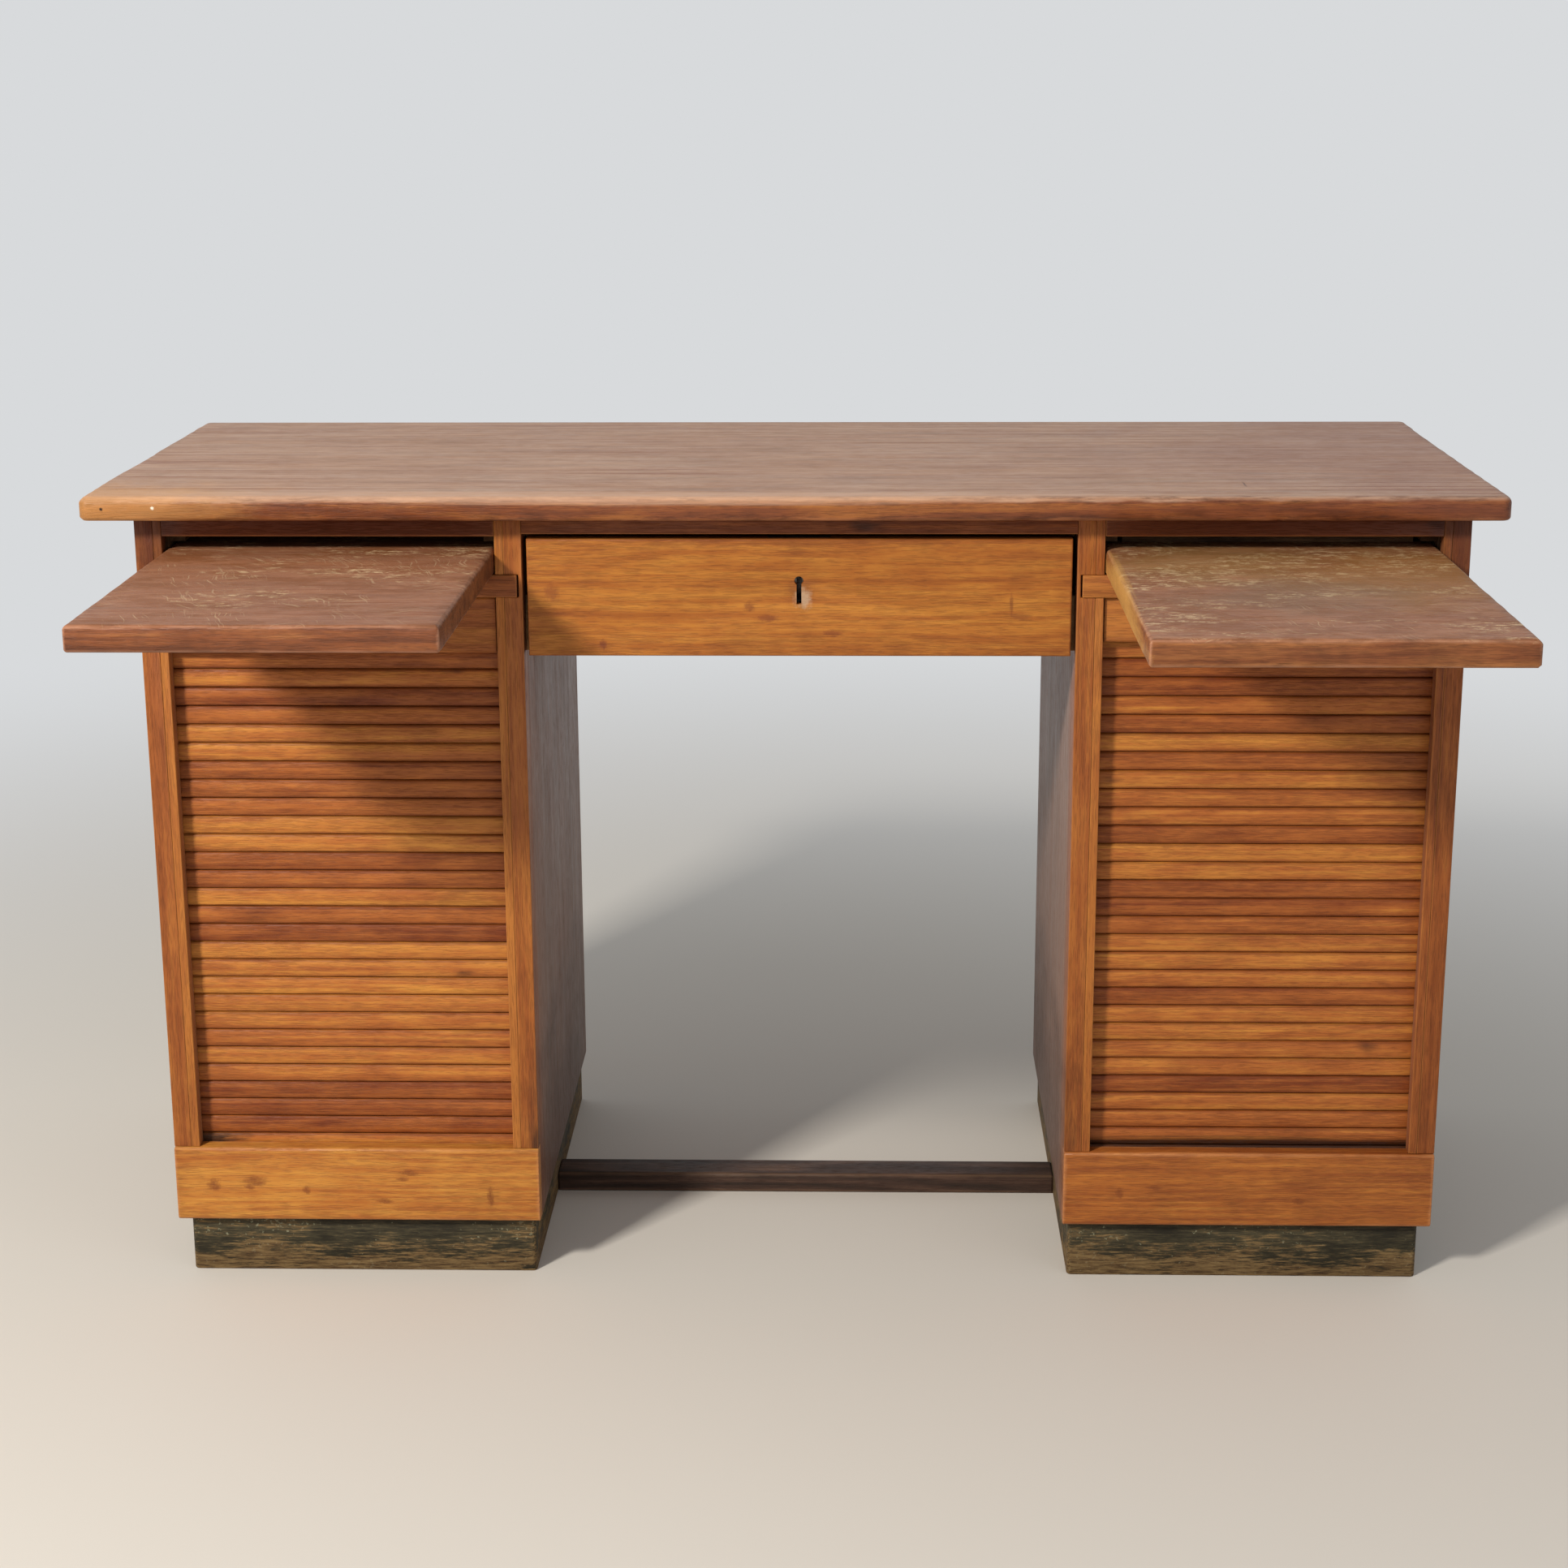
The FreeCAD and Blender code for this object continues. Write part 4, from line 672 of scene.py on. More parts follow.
def plinth_paint():
    """Black paint worn through to the wood in streaks, most near the floor."""
    finish = Finish("plinth_paint")
    height = finish.part(finish.place, "Z")
    streak = finish.grained(0.022, 0.002, detail=5, roughness=0.75)
    patch = finish.grained(0.1, 0.03, detail=5, roughness=0.7)
    fibre = finish.grained(0.02, 0.001, detail=2)
    brittle = streak * 1.1 + patch * 1.6 + fibre * 0.25 - height * 9
    worn = finish.rise(brittle, 1.14, 1.36)
    bare = finish.blend(finish.rise(streak, 0.35, 0.65), colour("4E341E"), colour("8C7048"))
    thin = finish.rise(streak + patch, 0.75, 1.3)
    paint = finish.blend(thin, colour("231F15"), colour("544C36"))
    speckle = finish.cloudy(330, detail=2)
    dusty = finish.rise(speckle * 0.7 + patch * 0.6, 0.76, 0.84)
    paint = finish.blend(dusty, paint, colour("7A7860"))
    edge = 1 - finish.rise(finish.to_arris(), 0.0, 2.5 * MM)
    tint = finish.blend((worn * 0.68 + edge * patch * 0.4).at_most(0.9), paint, bare)
    relief = fibre * 0.4 - worn * 0.5
    return finish.done(tint, worn * 0.2 + 0.6, relief, 0.4 * MM, specular=0.2)


def canvas_cloth():
    """Plain woven canvas: two sets of threads at right angles."""
    finish = Finish("canvas_cloth")
    per_metre = 2 * math.pi / THREAD_SPACE
    warp = finish.part(finish.place, "X") * per_metre
    weft = finish.part(finish.place, "Z") * per_metre
    weave = warp.sine() * weft.sine() * 0.5 + 0.5
    stain = finish.cloudy(9, detail=4)
    tint = finish.blend(stain, colour("8F8164"), colour("C3B592"))
    tint = finish.blend(weave * 0.25, tint, colour("6A5C42"))
    return finish.done(tint, weave * 0.1 + 0.85, weave, 0.3 * MM)


def metal(name, bright, dull, roughness):
    """Old metal: bright where it is rubbed, dull and rougher where it has tarnished."""
    finish = Finish(name)
    tarnish = finish.cloudy(90, detail=5, roughness=0.7)
    grainy = finish.cloudy(900, detail=2)
    mask = finish.rise(tarnish, 0.4, 0.68)
    tint = finish.blend(mask, colour(bright), colour(dull))
    finish.plug(finish.surface.inputs["Metallic"], 1 - mask * 0.6)
    return finish.done(tint, mask * 0.35 + roughness, grainy, 0.05 * MM)


finishes["plinth_paint"] = plinth_paint()
finishes["canvas_cloth"] = canvas_cloth()
finishes["lock_iron"] = metal("lock_iron", "6B6762", "3A2A20", 0.38)
finishes["screw_steel"] = metal("screw_steel", "9A968E", "5A3A24", 0.3)
print("all finishes:", len(finishes))

# %% [markdown]
# ## Marking the boards
# A piece may hold several boards: the plinth has four, a curtain twenty-eight. `mark_boards` finds
# the separate solids by walking over shared edges, and writes each board's corners, grain and tone
# on its vertices. A board's grain runs along its longest side unless a direction is given, and its
# tone comes from its place unless one is given.

# %% Boards of a piece
def separate_boards(mesh):
    """The vertex numbers of each connected solid in a mesh."""
    neighbours = [[] for _ in mesh.vertices]
    for edge in mesh.edges:
        first, second = edge.vertices
        neighbours[first].append(second)
        neighbours[second].append(first)
    seen = [False] * len(neighbours)
    boards = []
    for start in range(len(neighbours)):
        if seen[start]:
            continue
        seen[start] = True
        board = [start]
        for here in board:
            for there in neighbours[here]:
                if not seen[there]:
                    seen[there] = True
                    board.append(there)
        boards.append(board)
    return boards


def corners_of(mesh, board):
    """The lowest and highest corner of one board of a mesh."""
    places = [mesh.vertices[i].co for i in board]
    low = Vector(min(p[axis] for p in places) for axis in range(3))
    high = Vector(max(p[axis] for p in places) for axis in range(3))
    return low, high


def chance(place):
    """A number from -1 to 1 that depends on a place only, so it is the same every time."""
    mixed = math.sin(place.dot(Vector((12.9898, 78.233, 37.719)))) * 43758.5453
    return 2 * (mixed - math.floor(mixed)) - 1


def mark_boards(piece, grain=None, tone=None):
    """Writes the attributes that the finishes read, one value for each board of the piece."""
    mesh = piece.data
    vectors = {name: [Vector()] * len(mesh.vertices)
               for name in ("board_low", "board_high", "board_grain")}
    tones = [0.0] * len(mesh.vertices)
    for board in separate_boards(mesh):
        low, high = corners_of(mesh, board)
        size = high - low
        longest = max(range(3), key=lambda axis: size[axis])
        along = Vector(grain or [float(axis == longest) for axis in range(3)])
        own_tone = chance(low) if tone is None else tone
        for i in board:
            vectors["board_low"][i] = low
            vectors["board_high"][i] = high
            vectors["board_grain"][i] = along
            tones[i] = own_tone
    for name, values in vectors.items():
        written = mesh.attributes.new(name, "FLOAT_VECTOR", "POINT")
        written.data.foreach_set("vector", [c for v in values for c in v])
    if "board_tone" not in mesh.attributes:
        written = mesh.attributes.new("board_tone", "FLOAT", "POINT")
        written.data.foreach_set("value", tones)


print("boards can be marked")

# %% [markdown]
# ## Putting a piece on the desk
# Every finished piece stands for one imported node: it rides on the same body, takes the finish of
# the same slot and hides the node. The finish is given when the piece is made, and `put_on` gives
# the body and hides the node.

# %% Put a piece on the desk
def slot_of(node):
    """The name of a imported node's slot, which is the name of its material."""
    return nodes[node].data.materials[0].name


def put_on(piece, node):
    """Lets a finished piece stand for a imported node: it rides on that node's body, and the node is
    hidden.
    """
    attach(piece, nodes[node]["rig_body"])
    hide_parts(node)
    return piece


def new_piece(name, mesh, finish):
    """An object at the origin that holds a finished mesh."""
    mesh.name = name
    mesh.materials.clear()
    mesh.materials.append(finish)
    piece = bpy.data.objects.new(name, mesh)
    scene.collection.objects.link(piece)
    return piece


def mesh_of(form, name):
    """The plain mesh of a shape that was built in bmesh."""
    mesh = bpy.data.meshes.new(name)
    form.to_mesh(mesh)
    form.free()
    return mesh


def settled(piece):
    """The piece with its modifiers worked into its mesh."""
    evaluated = piece.evaluated_get(bpy.context.evaluated_depsgraph_get())
    mesh = bpy.data.meshes.new_from_object(evaluated)
    piece.modifiers.clear()
    piece.data = mesh
    return piece


print("pieces can be put on")

# %% [markdown]
# ## Boards with eased arrises
# No joiner leaves an arris sharp: a stroke of the plane or sandpaper eases it, and that thin curve
# is what catches the light on a real board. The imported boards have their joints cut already, so
# each is copied, welded, freed of its triangles and then given a fine bevel on its sharp edges.
# Where two boards of one node share an edge, it is split, so that each keeps its own closed skin.
# The bevel hardens the normals, which keeps the flat faces flat in the light, and no point may
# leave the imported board's box, so the desk's size stays as it was built.

# %% Eased boards
SHARP = math.radians(38)
FLAT = math.radians(0.5)


def welded_copy(node):
    """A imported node's mesh with its triangles joined up to flat faces, one closed skin a board."""
    form = bmesh.new()
    form.from_mesh(nodes[node].data)
    bmesh.ops.remove_doubles(form, verts=form.verts, dist=0.005 * MM)
    bmesh.ops.dissolve_limit(form, angle_limit=FLAT, verts=form.verts, edges=form.edges)
    shared = [edge for edge in form.edges if len(edge.link_faces) > 2]
    bmesh.ops.split_edges(form, edges=shared)
    return mesh_of(form, node)


def eased_board(node, ease, grain=None, tone=None):
    """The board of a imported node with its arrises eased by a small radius."""
    piece = new_piece(node + "_eased", welded_copy(node), finishes[slot_of(node)])
    piece.data.shade_smooth()
    bevel = piece.modifiers.new("ease", "BEVEL")
    bevel.width = ease
    bevel.segments = 2
    bevel.limit_method = "ANGLE"
    bevel.angle_limit = SHARP
    bevel.harden_normals = True
    settled(piece)
    low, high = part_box(node)
    for vertex in piece.data.vertices:
        vertex.co = [min(max(c, l), h) for c, l, h in zip(vertex.co, low, high)]
    mark_boards(piece, grain, tone)
    return put_on(piece, node)


EASES = {"carcase_wood": 0.9 * MM, "base_wood": 1.2 * MM, "drawer_wood": 1.2 * MM,
         "plinth_paint": 1.5 * MM, "foot_rail_wood": 2.5 * MM, "inner_wood": 0.5 * MM,
         "lock_iron": 0.3 * MM}
ALONG_X = (1, 0, 0)
GRAINS = {side + board: ALONG_X for side in ("left", "right") for board in ("_shelf", "_floor")}
# Some tones are painted shade: the top rails and the drawer rail are darkened for the shade under
# the top, and the right outer panel for shade on the right; the others are the boards' own tones.
TONES_AND_PAINTED_SHADE = {"left_base_board": 0.5, "right_base_board": -0.5, "drawer_front": 0.35,
         "left_top_rail": -1.8, "right_top_rail": -1.8, "drawer_rail": -1.2,
         "right_lead_bar": 1.0, "right_outer_panel": -0.35}

for node in sorted(nodes):
    ease = EASES.get(slot_of(node))
    if ease:
        board = eased_board(node, ease, GRAINS.get(node), TONES_AND_PAINTED_SHADE.get(node))
        print(board.name, len(board.data.polygons), "faces")

# %% [markdown]
# ## Top and slides
# The top and the two slides are slabs whose edges hands and sleeves have rounded for decades. A
# plain bevel is too even for them. Their outline is a rule instead: walk round the slab every few
# millimetres, lay the same small profile across the edge, and press each point inwards by a smooth
# noise, so the arris swells, thins and has dents. A few deeper chips are given by their places.

# %% Outline and profile of an edge
STEP = 5 * MM  # along the edge
ROUND_PARTS = 6  # in a quarter turn
RIM = 12 * MM  # from the edge to the flat middle
UNDER_ROOM = 0.1 * MM  # between a slab and what carries it


def outline_of(low, high, radius):
    """Points round a rectangle with rounded corners, each with its outward direction."""
    middle = (low + high) / 2
    half = (high - low) / 2
    points = []
    turns = ((1, -1), (1, 1), (-1, 1), (-1, -1))
    for number, (x, y) in enumerate(turns):
        centre = Vector((middle.x + x * (half.x - radius), middle.y + y * (half.y - radius)))
        for part in range(ROUND_PARTS + 1):
            angle = math.pi / 2 * (number - 1 + part / ROUND_PARTS)
            outward = Vector((math.cos(angle), math.sin(angle)))
            points.append((centre + outward * radius, outward))
    walked = []
    for (start, outward), (end, _) in zip(points, points[1:] + points[:1]):
        steps = max(1, round((end - start).length / STEP))
        walked += [(start.lerp(end, step / steps), outward) for step in range(steps)]
    return walked


def edge_profile(thick, over, under):
    """The edge from the under face to the top: inset, height, and the share of outward and up."""
    rows = []
    for radius, base, way in ((under, 0, -1), (over, thick, 1)):
        arc = []
        for part in range(ROUND_PARTS + 1):
            angle = math.pi / 2 * part / ROUND_PARTS
            out, rise = math.cos(angle), math.sin(angle)
            height = base + way * radius * (rise - 1)
            arc.append((radius * (1 - out), height, out, rise * way))
        rows += arc if way > 0 else arc[::-1]
    return rows


print("an edge has", len(edge_profile(22 * MM, 6 * MM, 3 * MM)), "points")

# %% [markdown]
# Wear is the only thing that isn't even. It presses the round parts of the profile inwards, most
# where the arris turns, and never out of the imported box.

# %% Slabs with worn edges
def dent(place, wear, chips):
    """How far a point of the edge is worn inwards."""
    slow = noise.noise(place * 9)
    quick = noise.noise(place * 60)
    depth = wear * max(0.0, 0.35 + 0.9 * slow + 0.5 * quick)
    for x, y, length, deep in chips:
        away = math.hypot(place.x - x, place.y - y) / length
        depth += deep * max(0.0, 1 - away * away) * (0.7 + 0.5 * noise.noise(place * 300))
    return depth


def set_in(point, inset, low, high):
    """A point moved so far in that it keeps its inset from the sides of the box."""
    return Vector((min(max(point.x, low.x + inset), high.x - inset),
                   min(max(point.y, low.y + inset), high.y - inset), 0))


def worn_slab(node, corner, over, under, wear, chips, grain=None, tone=None):
    """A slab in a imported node's box, with rounded, worn edges. Corner, over and under are the
    radii seen from above and at the upper and lower arris."""
    low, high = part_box(node)
    low.z += UNDER_ROOM
    thick = high.z - low.z
    rows = [(RIM, 0, 0, 0), *edge_profile(thick, over, under), (RIM, thick, 0, 0)]
    form = bmesh.new()
    rings = []
    for point, outward in outline_of(low.xy.to_3d(), high.xy.to_3d(), corner):
        column = []
        for inset, height, out, up in rows:
            place = set_in(point - outward * min(inset, corner), inset, low, high)
            place.z = low.z + height
            soft = 4 * abs(out * up)
            if soft:
                inwards = Vector((outward.x * out, outward.y * out, up)) * -1
                place += inwards * dent(place, wear * soft / 2, chips)
            column.append(form.verts.new(place))
        rings.append(column)
    for column, following in zip(rings, rings[1:] + rings[:1]):
        for row in range(len(rows) - 1):
            form.faces.new((column[row], following[row], following[row + 1], column[row + 1]))
    form.faces.new([column[0] for column in reversed(rings)])
    form.faces.new([column[-1] for column in rings])
    bmesh.ops.remove_doubles(form, verts=form.verts, dist=0.01 * MM)
    piece = new_piece(node + "_worn", mesh_of(form, node), finishes[slot_of(node)])
    piece.data.shade_smooth()
    mark_boards(piece, grain, tone)
    return put_on(piece, node)


TOP_CHIPS = [(x, -0.077, length * MM, deep * MM) for x, length, deep in (
    (0.205, 10, 0.9), (0.062, 7, 0.8), (-0.148, 6, 0.7), (0.432, 5, 0.8))]
SLIDE_TONES = {"left_slide": -0.35, "right_slide": 0.4}

slabs = [worn_slab("desk_top", 9 * MM, 6 * MM, 3 * MM, 1.3 * MM, TOP_CHIPS, tone=0.0)]
for node, tone in SLIDE_TONES.items():
    slabs.append(worn_slab(node, 3 * MM, 4 * MM, 2.5 * MM, 0.9 * MM, (), ALONG_X, tone))
for slab in slabs:
    print(slab.name, len(slab.data.polygons), "faces")

# %% [markdown]
# ## Trees that make pieces
# Slats and screws repeat, so Geometry Nodes make them. A `Maker` is written with the same `add` as
# a finish. It ends in real geometry with its finish, because the export drops instances, and what
# it made is kept as a plain mesh.

# %% Maker
class Maker(Tree):
    """A Geometry Nodes tree that is being written. Its inputs are named, by their kind."""

    def __init__(self, name, **inputs):
        super().__init__(bpy.data.node_groups.new(name, "GeometryNodeTree"))
        sides = self.node_tree.interface
        self.keys = {}
        sides.new_socket("Geometry", in_out="INPUT", socket_type="NodeSocketGeometry")
        sides.new_socket("Geometry", in_out="OUTPUT", socket_type="NodeSocketGeometry")
        for kind, titles in inputs.items():
            for title in titles:
                socket = sides.new_socket(title, in_out="INPUT", socket_type="NodeSocket" + kind)
                self.keys[title] = socket.identifier
        self.given = self.node_tree.nodes.new("NodeGroupInput")
        self.result = self.node_tree.nodes.new("NodeGroupOutput")

    def input(self, title):
        return Value(self, self.given.outputs[title])

    def shape(self, kind, sockets, **settings):
        """A node of the Geometry Nodes kind."""
        return self.add("GeometryNode" + kind, settings, sockets)

    def xyz(self, x=0.0, y=0.0, z=0.0):
        return self.add("ShaderNodeCombineXYZ", {}, {0: x, 1: y, 2: z})

    def lifted(self, shape, height):
        """A shape moved up by a height."""
        return self.shape("Transform", {"Geometry": shape, "Translation": self.xyz(z=height)})

    def chance(self, low, high, seed):
        """A random number between low and high for each point or instance."""
        sockets = {2: low, 3: high, "Seed": seed}
        return self.add("FunctionNodeRandomValue", {"data_type": "FLOAT"}, sockets, 1)

    def finished(self, instances):
        """Ends the tree: real geometry, with the finish from the Finish input."""
        real = self.shape("RealizeInstances", {"Geometry": instances})
        coated = self.shape("SetMaterial", {"Geometry": real, "Material": self.input("Finish")})
        self.plug(self.result.inputs["Geometry"], coated)

    def make(self, name, mesh, values):
        """Runs the tree on a mesh and gives back a plain piece."""
        piece = bpy.data.objects.new(name, mesh)
        scene.collection.objects.link(piece)
        modifier = piece.modifiers.new("maker", "NODES")
        modifier.node_group = self.node_tree
        for title, value in values.items():
            modifier[self.keys[title]] = value
        return settled(piece)


print("makers can be written")

# %% [markdown]
# ## Curtain of slats
# A tambour is one slat repeated: a rounded rectangle with a crowned front is swept along the
# slat's length, and instances of it stand on a line of points, one pitch apart. Each slat is set
# back by a hair and tilted by a hair, and gets a tone of its own, all from one fixed seed.

# %% Slat curtains
def curtain_maker():
    """Slats with rounded arrises and crowned faces, one above the other."""
    tree = Maker("curtain", Int=("Count", "Seed"), Vector=("Place",), Material=("Finish",),
                 Float=("Pitch", "Width", "Height", "Thickness", "Rounding", "Crown", "Set back",
                        "Tilt", "Darkest", "Lightest"))
    given = tree.input
    section = tree.shape("CurvePrimitiveQuadrilateral", {
        "Width": given("Thickness"), "Height": given("Height")}, mode="RECTANGLE")
    section = tree.shape("FilletCurve", {
        "Curve": section, "Count": 4, "Radius": given("Rounding")}, mode="POLY")
    section = tree.shape("SubdivideCurve", {"Curve": section, "Cuts": 2})
    place = tree.shape("InputPosition", {})
    forward = tree.add("ShaderNodeSeparateXYZ", {}, {0: place}, "X") / given("Thickness")
    upward = tree.add("ShaderNodeSeparateXYZ", {}, {0: place}, "Y") / given("Height")
    swell = (1 - upward * upward * 4) * (forward + 0.5) * given("Crown")
    section = tree.shape("SetPosition", {"Geometry": section, "Offset": tree.xyz(x=swell)})
    half = given("Width") * 0.5
    line = tree.shape("CurvePrimitiveLine", {
        "Start": tree.xyz(x=half * -1), "End": tree.xyz(x=half)}, mode="POINTS")
    slat = tree.shape("CurveToMesh", {"Curve": line, "Profile Curve": section, "Fill Caps": True})
    points = tree.shape("MeshLine", {
        "Count": given("Count"), "Start Location": given("Place"),
        "Offset": tree.xyz(z=given("Pitch"))}, mode="OFFSET")
    back = tree.chance(0.0, given("Set back"), given("Seed"))
    points = tree.shape("SetPosition", {"Geometry": points, "Offset": tree.xyz(y=back)})
    lean = tree.chance(given("Tilt") * -1, given("Tilt"), given("Seed") + 1)
    slats = tree.shape("InstanceOnPoints", {
        "Points": points, "Instance": slat, "Rotation": tree.xyz(x=lean)})
    tone = tree.chance(given("Darkest"), given("Lightest"), given("Seed") + 2)
    slats = tree.shape("StoreNamedAttribute", {
        "Geometry": slats, "Name": "board_tone", "Value": tone},
        data_type="FLOAT", domain="INSTANCE")
    tree.finished(slats)
    return tree


SEEDS = {"left": 4138, "right": 3660}
TONE_RANGES = {"left": (-0.8, 0.8), "right": (-0.75, 0.4)}
CROWN = 1.2 * MM
SET_BACK = 0.3 * MM
ROUNDING = 1.7 * MM
TILT = math.radians(0.5)
slat_tree = curtain_maker()


def slat_curtain(side):
    """One pedestal's slats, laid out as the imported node's are."""
    node = side + "_slats"
    packed = welded_copy(node)
    boxes = sorted((corners_of(packed, board) for board in separate_boards(packed)),
                   key=lambda box: box[0].z)
    first_low, first_high = boxes[0]
    size = first_high - first_low
    middle = (first_low + first_high) / 2 + Vector((0, (CROWN - SET_BACK) / 2, 0))
    darkest, lightest = TONE_RANGES[side]
    piece = slat_tree.make(node + "_worn", packed, {
        "Count": len(boxes), "Pitch": boxes[1][0].z - first_low.z, "Width": size.x,
        "Height": size.z, "Thickness": size.y - CROWN - SET_BACK, "Rounding": ROUNDING,
        "Crown": CROWN, "Place": middle, "Set back": SET_BACK, "Tilt": TILT,
        "Darkest": darkest, "Lightest": lightest, "Seed": SEEDS[side],
        "Finish": finishes["slat_wood"]})
    mark_boards(piece)
    return put_on(piece, node)


def sink(piece, side):
    """Reads how far the curtain goes down, and gives the piece a mesh of its own."""
    low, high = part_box(side + "_canvas")
    travel = next(j["range_m"][1] for j in frame["joints"]
                  if j["name"] == side + "_curtain_drop")
    1 - travel / (high.z - low.z)
    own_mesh(piece)


for side in SEEDS:
    curtain = slat_curtain(side)
    sink(curtain, side)
    print(curtain.name, len(curtain.data.polygons), "faces")

# %% [markdown]
# ## Canvas
# The slats are glued to a strip of canvas, which is the curtain's hinge. It is stretched over the
# slats and sinks a little into the gaps between them, so it is a fine grid, pressed in at every
# gap and given its thickness afterwards.

# %% Canvas
SLAT_PITCH = 18 * MM
COLUMNS = 20
ROWS_A_SLAT = 4
PRESSED_IN = 0.3 * MM
CLOTH_THICKNESS = 0.45 * MM


def cloth_grid(low, high):
    """A grid over the slats' backs, pressed in at every gap between them."""
    form = bmesh.new()
    rows = ROWS_A_SLAT * round((high.z - low.z) / SLAT_PITCH)
    grid = []
    for row in range(rows + 1):
        z = low.z + (high.z - low.z) * row / rows
        wave = math.cos(2 * math.pi * (z - low.z) / SLAT_PITCH)
        y = high.y - PRESSED_IN * (0.5 + 0.5 * wave)
        grid.append([form.verts.new((low.x + (high.x - low.x) * column / COLUMNS, y, z))
                     for column in range(COLUMNS + 1)])
    for below, above in zip(grid, grid[1:]):
        for c in range(COLUMNS):
            form.faces.new((below[c + 1], below[c], above[c], above[c + 1]))
    return form


def canvas(side):
    """The cloth behind one curtain's slats."""
    node = side + "_canvas"
    low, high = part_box(node)
    piece = new_piece(node + "_woven", mesh_of(cloth_grid(low, high), node),
                      finishes["canvas_cloth"])
    piece.data.shade_smooth()
    cloth = piece.modifiers.new("thickness", "SOLIDIFY")
    cloth.thickness = CLOTH_THICKNESS
    cloth.offset = -1
    settled(piece)
    mark_boards(piece, grain=(0, 0, 1))
    put_on(piece, node)
    return piece


for side in SEEDS:
    cloth = canvas(side)
    sink(cloth, side)
    print(cloth.name, len(cloth.data.polygons), "faces")

# %% [markdown]
# ## Screws
# Six wood screws hold the top from below. All of them are the same screw, so one is built in
# Geometry Nodes: a slotted countersunk head, a shank, a point, and a thread that is a small
# triangle swept along a spiral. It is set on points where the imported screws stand.

# %% Screws
def screw_maker():
    """A slotted wood screw on every point, point upwards."""
    tree = Maker("screws", Material=("Finish",), Float=(
        "Head radius", "Shank radius", "Length", "Point", "Thread pitch", "Slot"))
    given = tree.input
    wide, shank, slot = given("Head radius"), given("Shank radius"), given("Slot")
    length, point = given("Length"), given("Point")
    sink_depth = wide - shank
    head = tree.shape("MeshCone", {
        "Vertices": 32, "Radius Top": shank, "Radius Bottom": wide, "Depth": sink_depth})
    blade = tree.shape("MeshCube", {"Size": tree.xyz(wide * 3, slot, slot * 2)})
    head = tree.shape("MeshBoolean", {"Mesh 1": head, "Mesh 2": blade},
                      operation="DIFFERENCE", solver="EXACT")
    core = shank * 0.82
    body = tree.shape("MeshCylinder", {
        "Vertices": 24, "Radius": core, "Depth": length - point - sink_depth})
    body = tree.lifted(body, (length - point + sink_depth) * 0.5)
    tip = tree.shape("MeshCone", {
        "Vertices": 24, "Radius Top": 0.0, "Radius Bottom": core, "Depth": point})
    tip = tree.lifted(tip, length - point)
    threaded = (length - point) * 0.6
    spiral = tree.shape("CurveSpiral", {
        "Resolution": 20, "Rotations": threaded / given("Thread pitch"),
        "Start Radius": core, "End Radius": core, "Height": threaded})
    spiral = tree.lifted(spiral, length - point - threaded)
    ridge = tree.shape("CurvePrimitiveCircle", {
        "Resolution": 3, "Radius": shank - core}, mode="RADIUS")
    thread = tree.shape("CurveToMesh", {
        "Curve": spiral, "Profile Curve": ridge, "Fill Caps": True})
    screw = tree.shape("JoinGeometry", {"Geometry": [thread, tip, body, head]})
    screws = tree.shape("InstanceOnPoints", {"Points": given("Geometry"), "Instance": screw})
    tree.finished(screws)
    return tree


packed_screws = welded_copy("top_screws")
screw_boxes = [corners_of(packed_screws, board) for board in separate_boards(packed_screws)]
points = bpy.data.meshes.new("screw_points")
points.from_pydata([((low.x + high.x) / 2, (low.y + high.y) / 2, low.z)
                    for low, high in screw_boxes], [], [])
first_low, first_high = screw_boxes[0]
screws = screw_maker().make("top_screws_threaded", points, {
    "Head radius": (first_high.x - first_low.x) / 2, "Length": first_high.z - first_low.z,
    "Shank radius": 2 * MM, "Point": 9 * MM, "Thread pitch": 2 * MM, "Slot": 1 * MM,
    "Finish": finishes["screw_steel"]})
mark_boards(screws, tone=0.0)
put_on(screws, "top_screws")
print(screws.name, len(screws.data.polygons), "faces,", len(screw_boxes), "screws")

# %% [markdown]
# ## Studio
# The desk stands on a plain pale floor that runs back to a pale sky, as in a studio with a paper
# sweep. One lamp high in front on the left gives soft shadows to the lower right, and a weak one
# on the right opens them. The background is pale because its own colour is, and the camera and
# the reflections see the same colour.

# %% Floor and light
FLOOR_TINT = colour("D9D3C9")
SKY_TINT = colour("D8DADC")
FADE = (0.8, 3.2)  # where the floor begins and ends to run out into the background
FLOOR_RADIUS = 60
LAMPS_AIM = Vector((0, 0, 0.45))
WARM = (1.0, 0.955, 0.89)
COOL = (0.93, 0.96, 1.0)


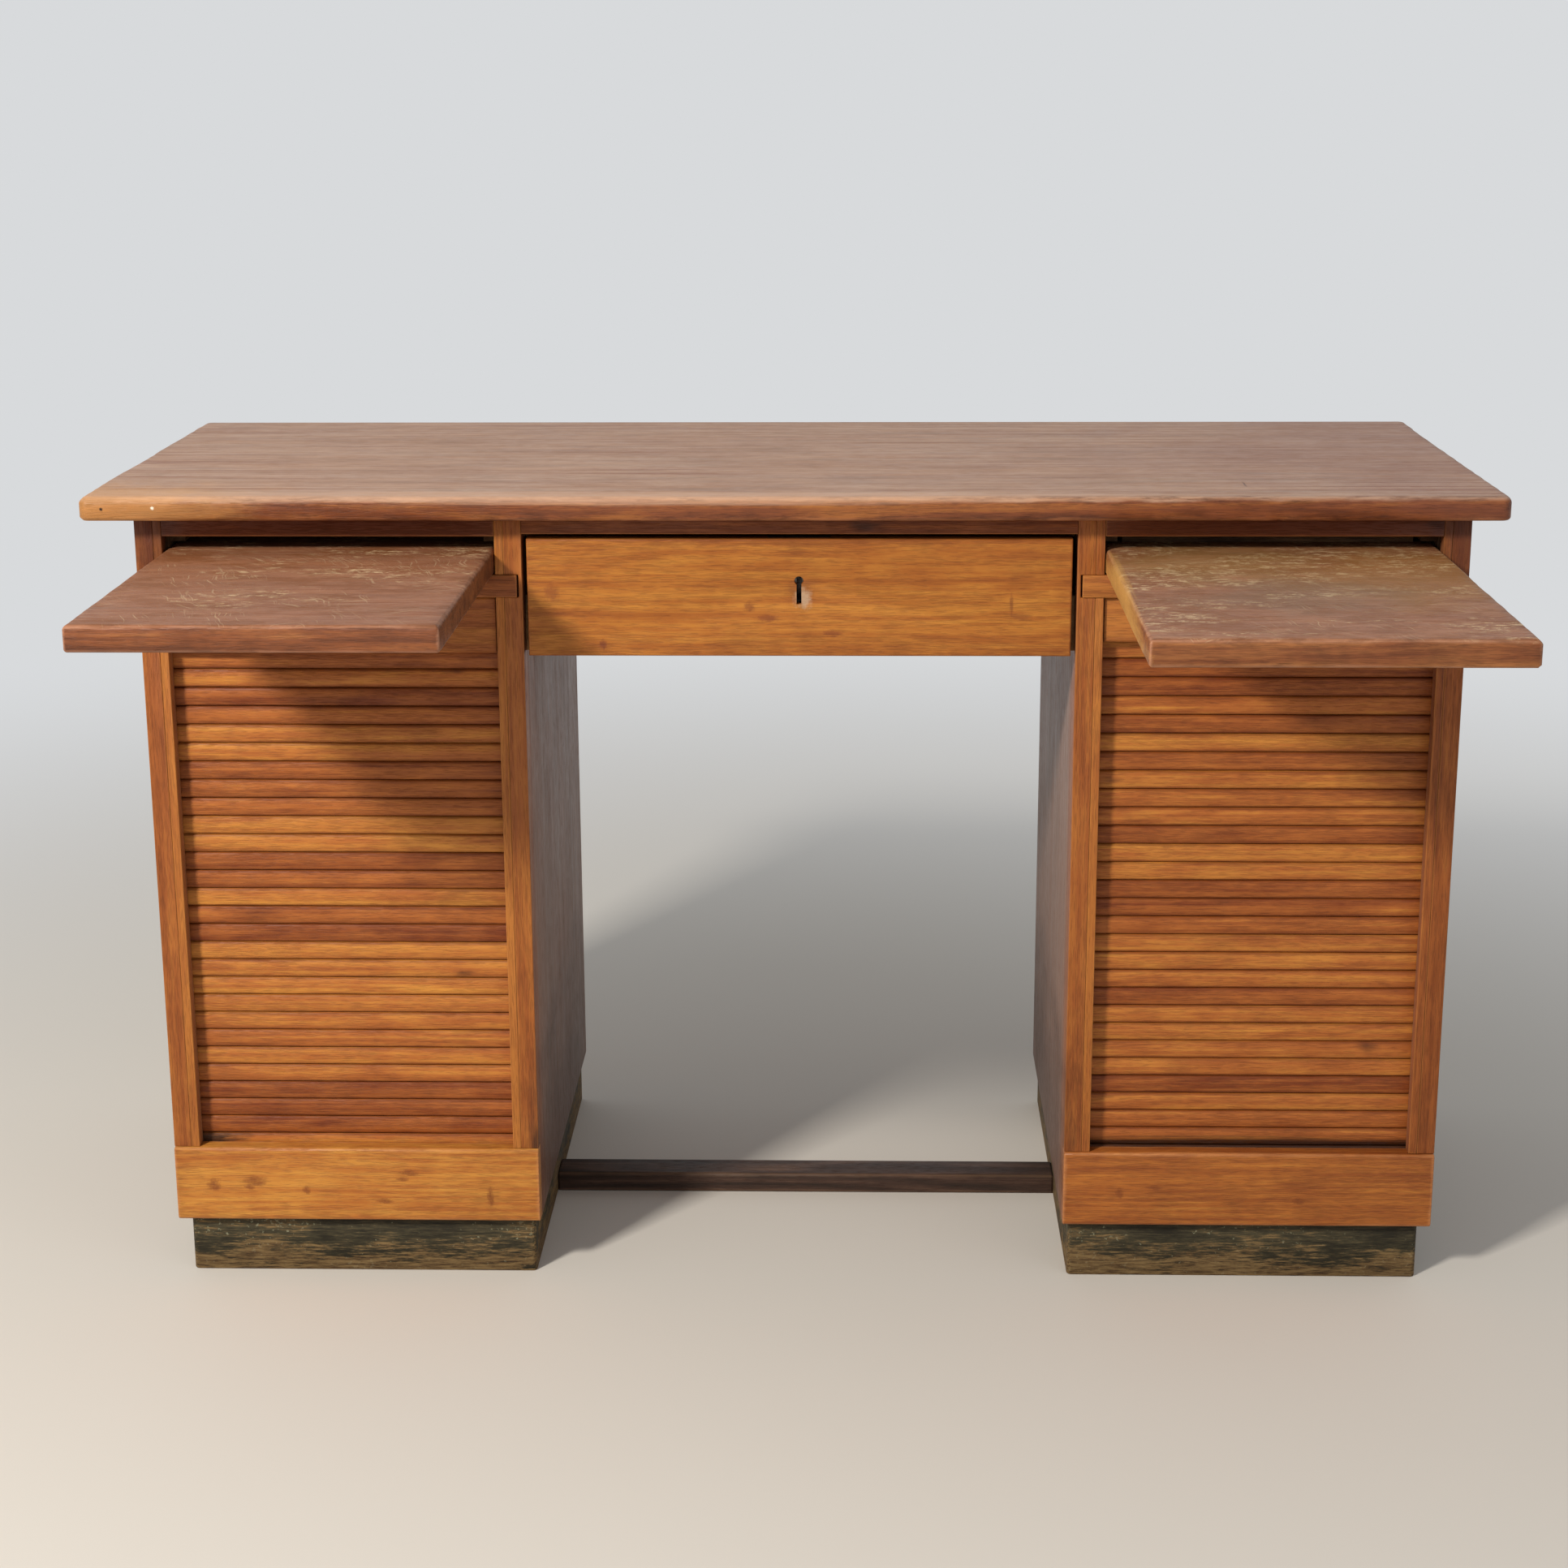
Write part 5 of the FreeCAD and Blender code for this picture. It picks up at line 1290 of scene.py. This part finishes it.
def camera_sees(tree):
    """1 for what the camera, a reflection or a glass sees, 0 for light on the desk."""
    names = ("Is Camera Ray", "Is Glossy Ray", "Is Transmission Ray")
    seen, glossy, through = (tree.add("ShaderNodeLightPath", {}, {}, name) for name in names)
    return seen.at_least(glossy).at_least(through)


def floor():
    """A wide disc under the desk, which runs out into the background's own colour."""
    form = bmesh.new()
    bmesh.ops.create_circle(form, cap_ends=True, segments=64, radius=FLOOR_RADIUS)
    finish = Finish("floor_paper")
    cloud = finish.noise(finish.scaled(finish.place, 1.3), detail=5)
    tint = finish.blend(cloud * 0.12, FLOOR_TINT, colour("BDB5A8"))
    finish.done(tint, 0.9, cloud, 0.5 * MM)
    away = finish.vector("LENGTH", finish.place, output="Value")
    far = finish.rise(away, *FADE) * camera_sees(finish)
    glow = finish.add("ShaderNodeEmission", {}, {"Color": SKY_TINT})
    paper = Value(finish, finish.surface.outputs[0])
    both = finish.add("ShaderNodeMixShader", {}, {0: far, 1: paper, 2: glow})
    finish.plug(finish.node_tree.nodes["Material Output"].inputs["Surface"], both)
    disc = new_piece("floor", mesh_of(form, "floor"), finish.material)


def lamp(name, place, size, power, tint):
    """A square lamp that points at the desk's middle. Size is its side in metres."""
    light = bpy.data.lights.new(name, "AREA")
    light.size = size
    light.energy = power
    light.color = tint
    bulb = bpy.data.objects.new(name, light)
    scene.collection.objects.link(bulb)
    bulb.location = place
    towards = LAMPS_AIM - Vector(place)
    bulb.rotation_euler = towards.to_track_quat("-Z", "Y").to_euler()


def sky():
    """Even light from all round, and a pale background for the camera."""
    world = bpy.data.worlds.new("sky")
    world.use_nodes = True
    scene.world = world
    tree = Tree(world.node_tree)
    even = tree.add("ShaderNodeBackground", {}, {"Color": (*COOL, 1), "Strength": 0.45})
    pale = tree.add("ShaderNodeBackground", {}, {"Color": SKY_TINT, "Strength": 1.0})
    both = tree.add("ShaderNodeMixShader", {}, {0: camera_sees(tree), 1: even, 2: pale})
    tree.plug(world.node_tree.nodes["World Output"].inputs["Surface"], both)


floor()
lamp("key", (-2.1, -2.6, 2.6), size=0.5, power=145, tint=WARM)
lamp("fill", (2.6, -2.4, 1.7), size=2.0, power=8, tint=COOL)
sky()
print("studio is lit")
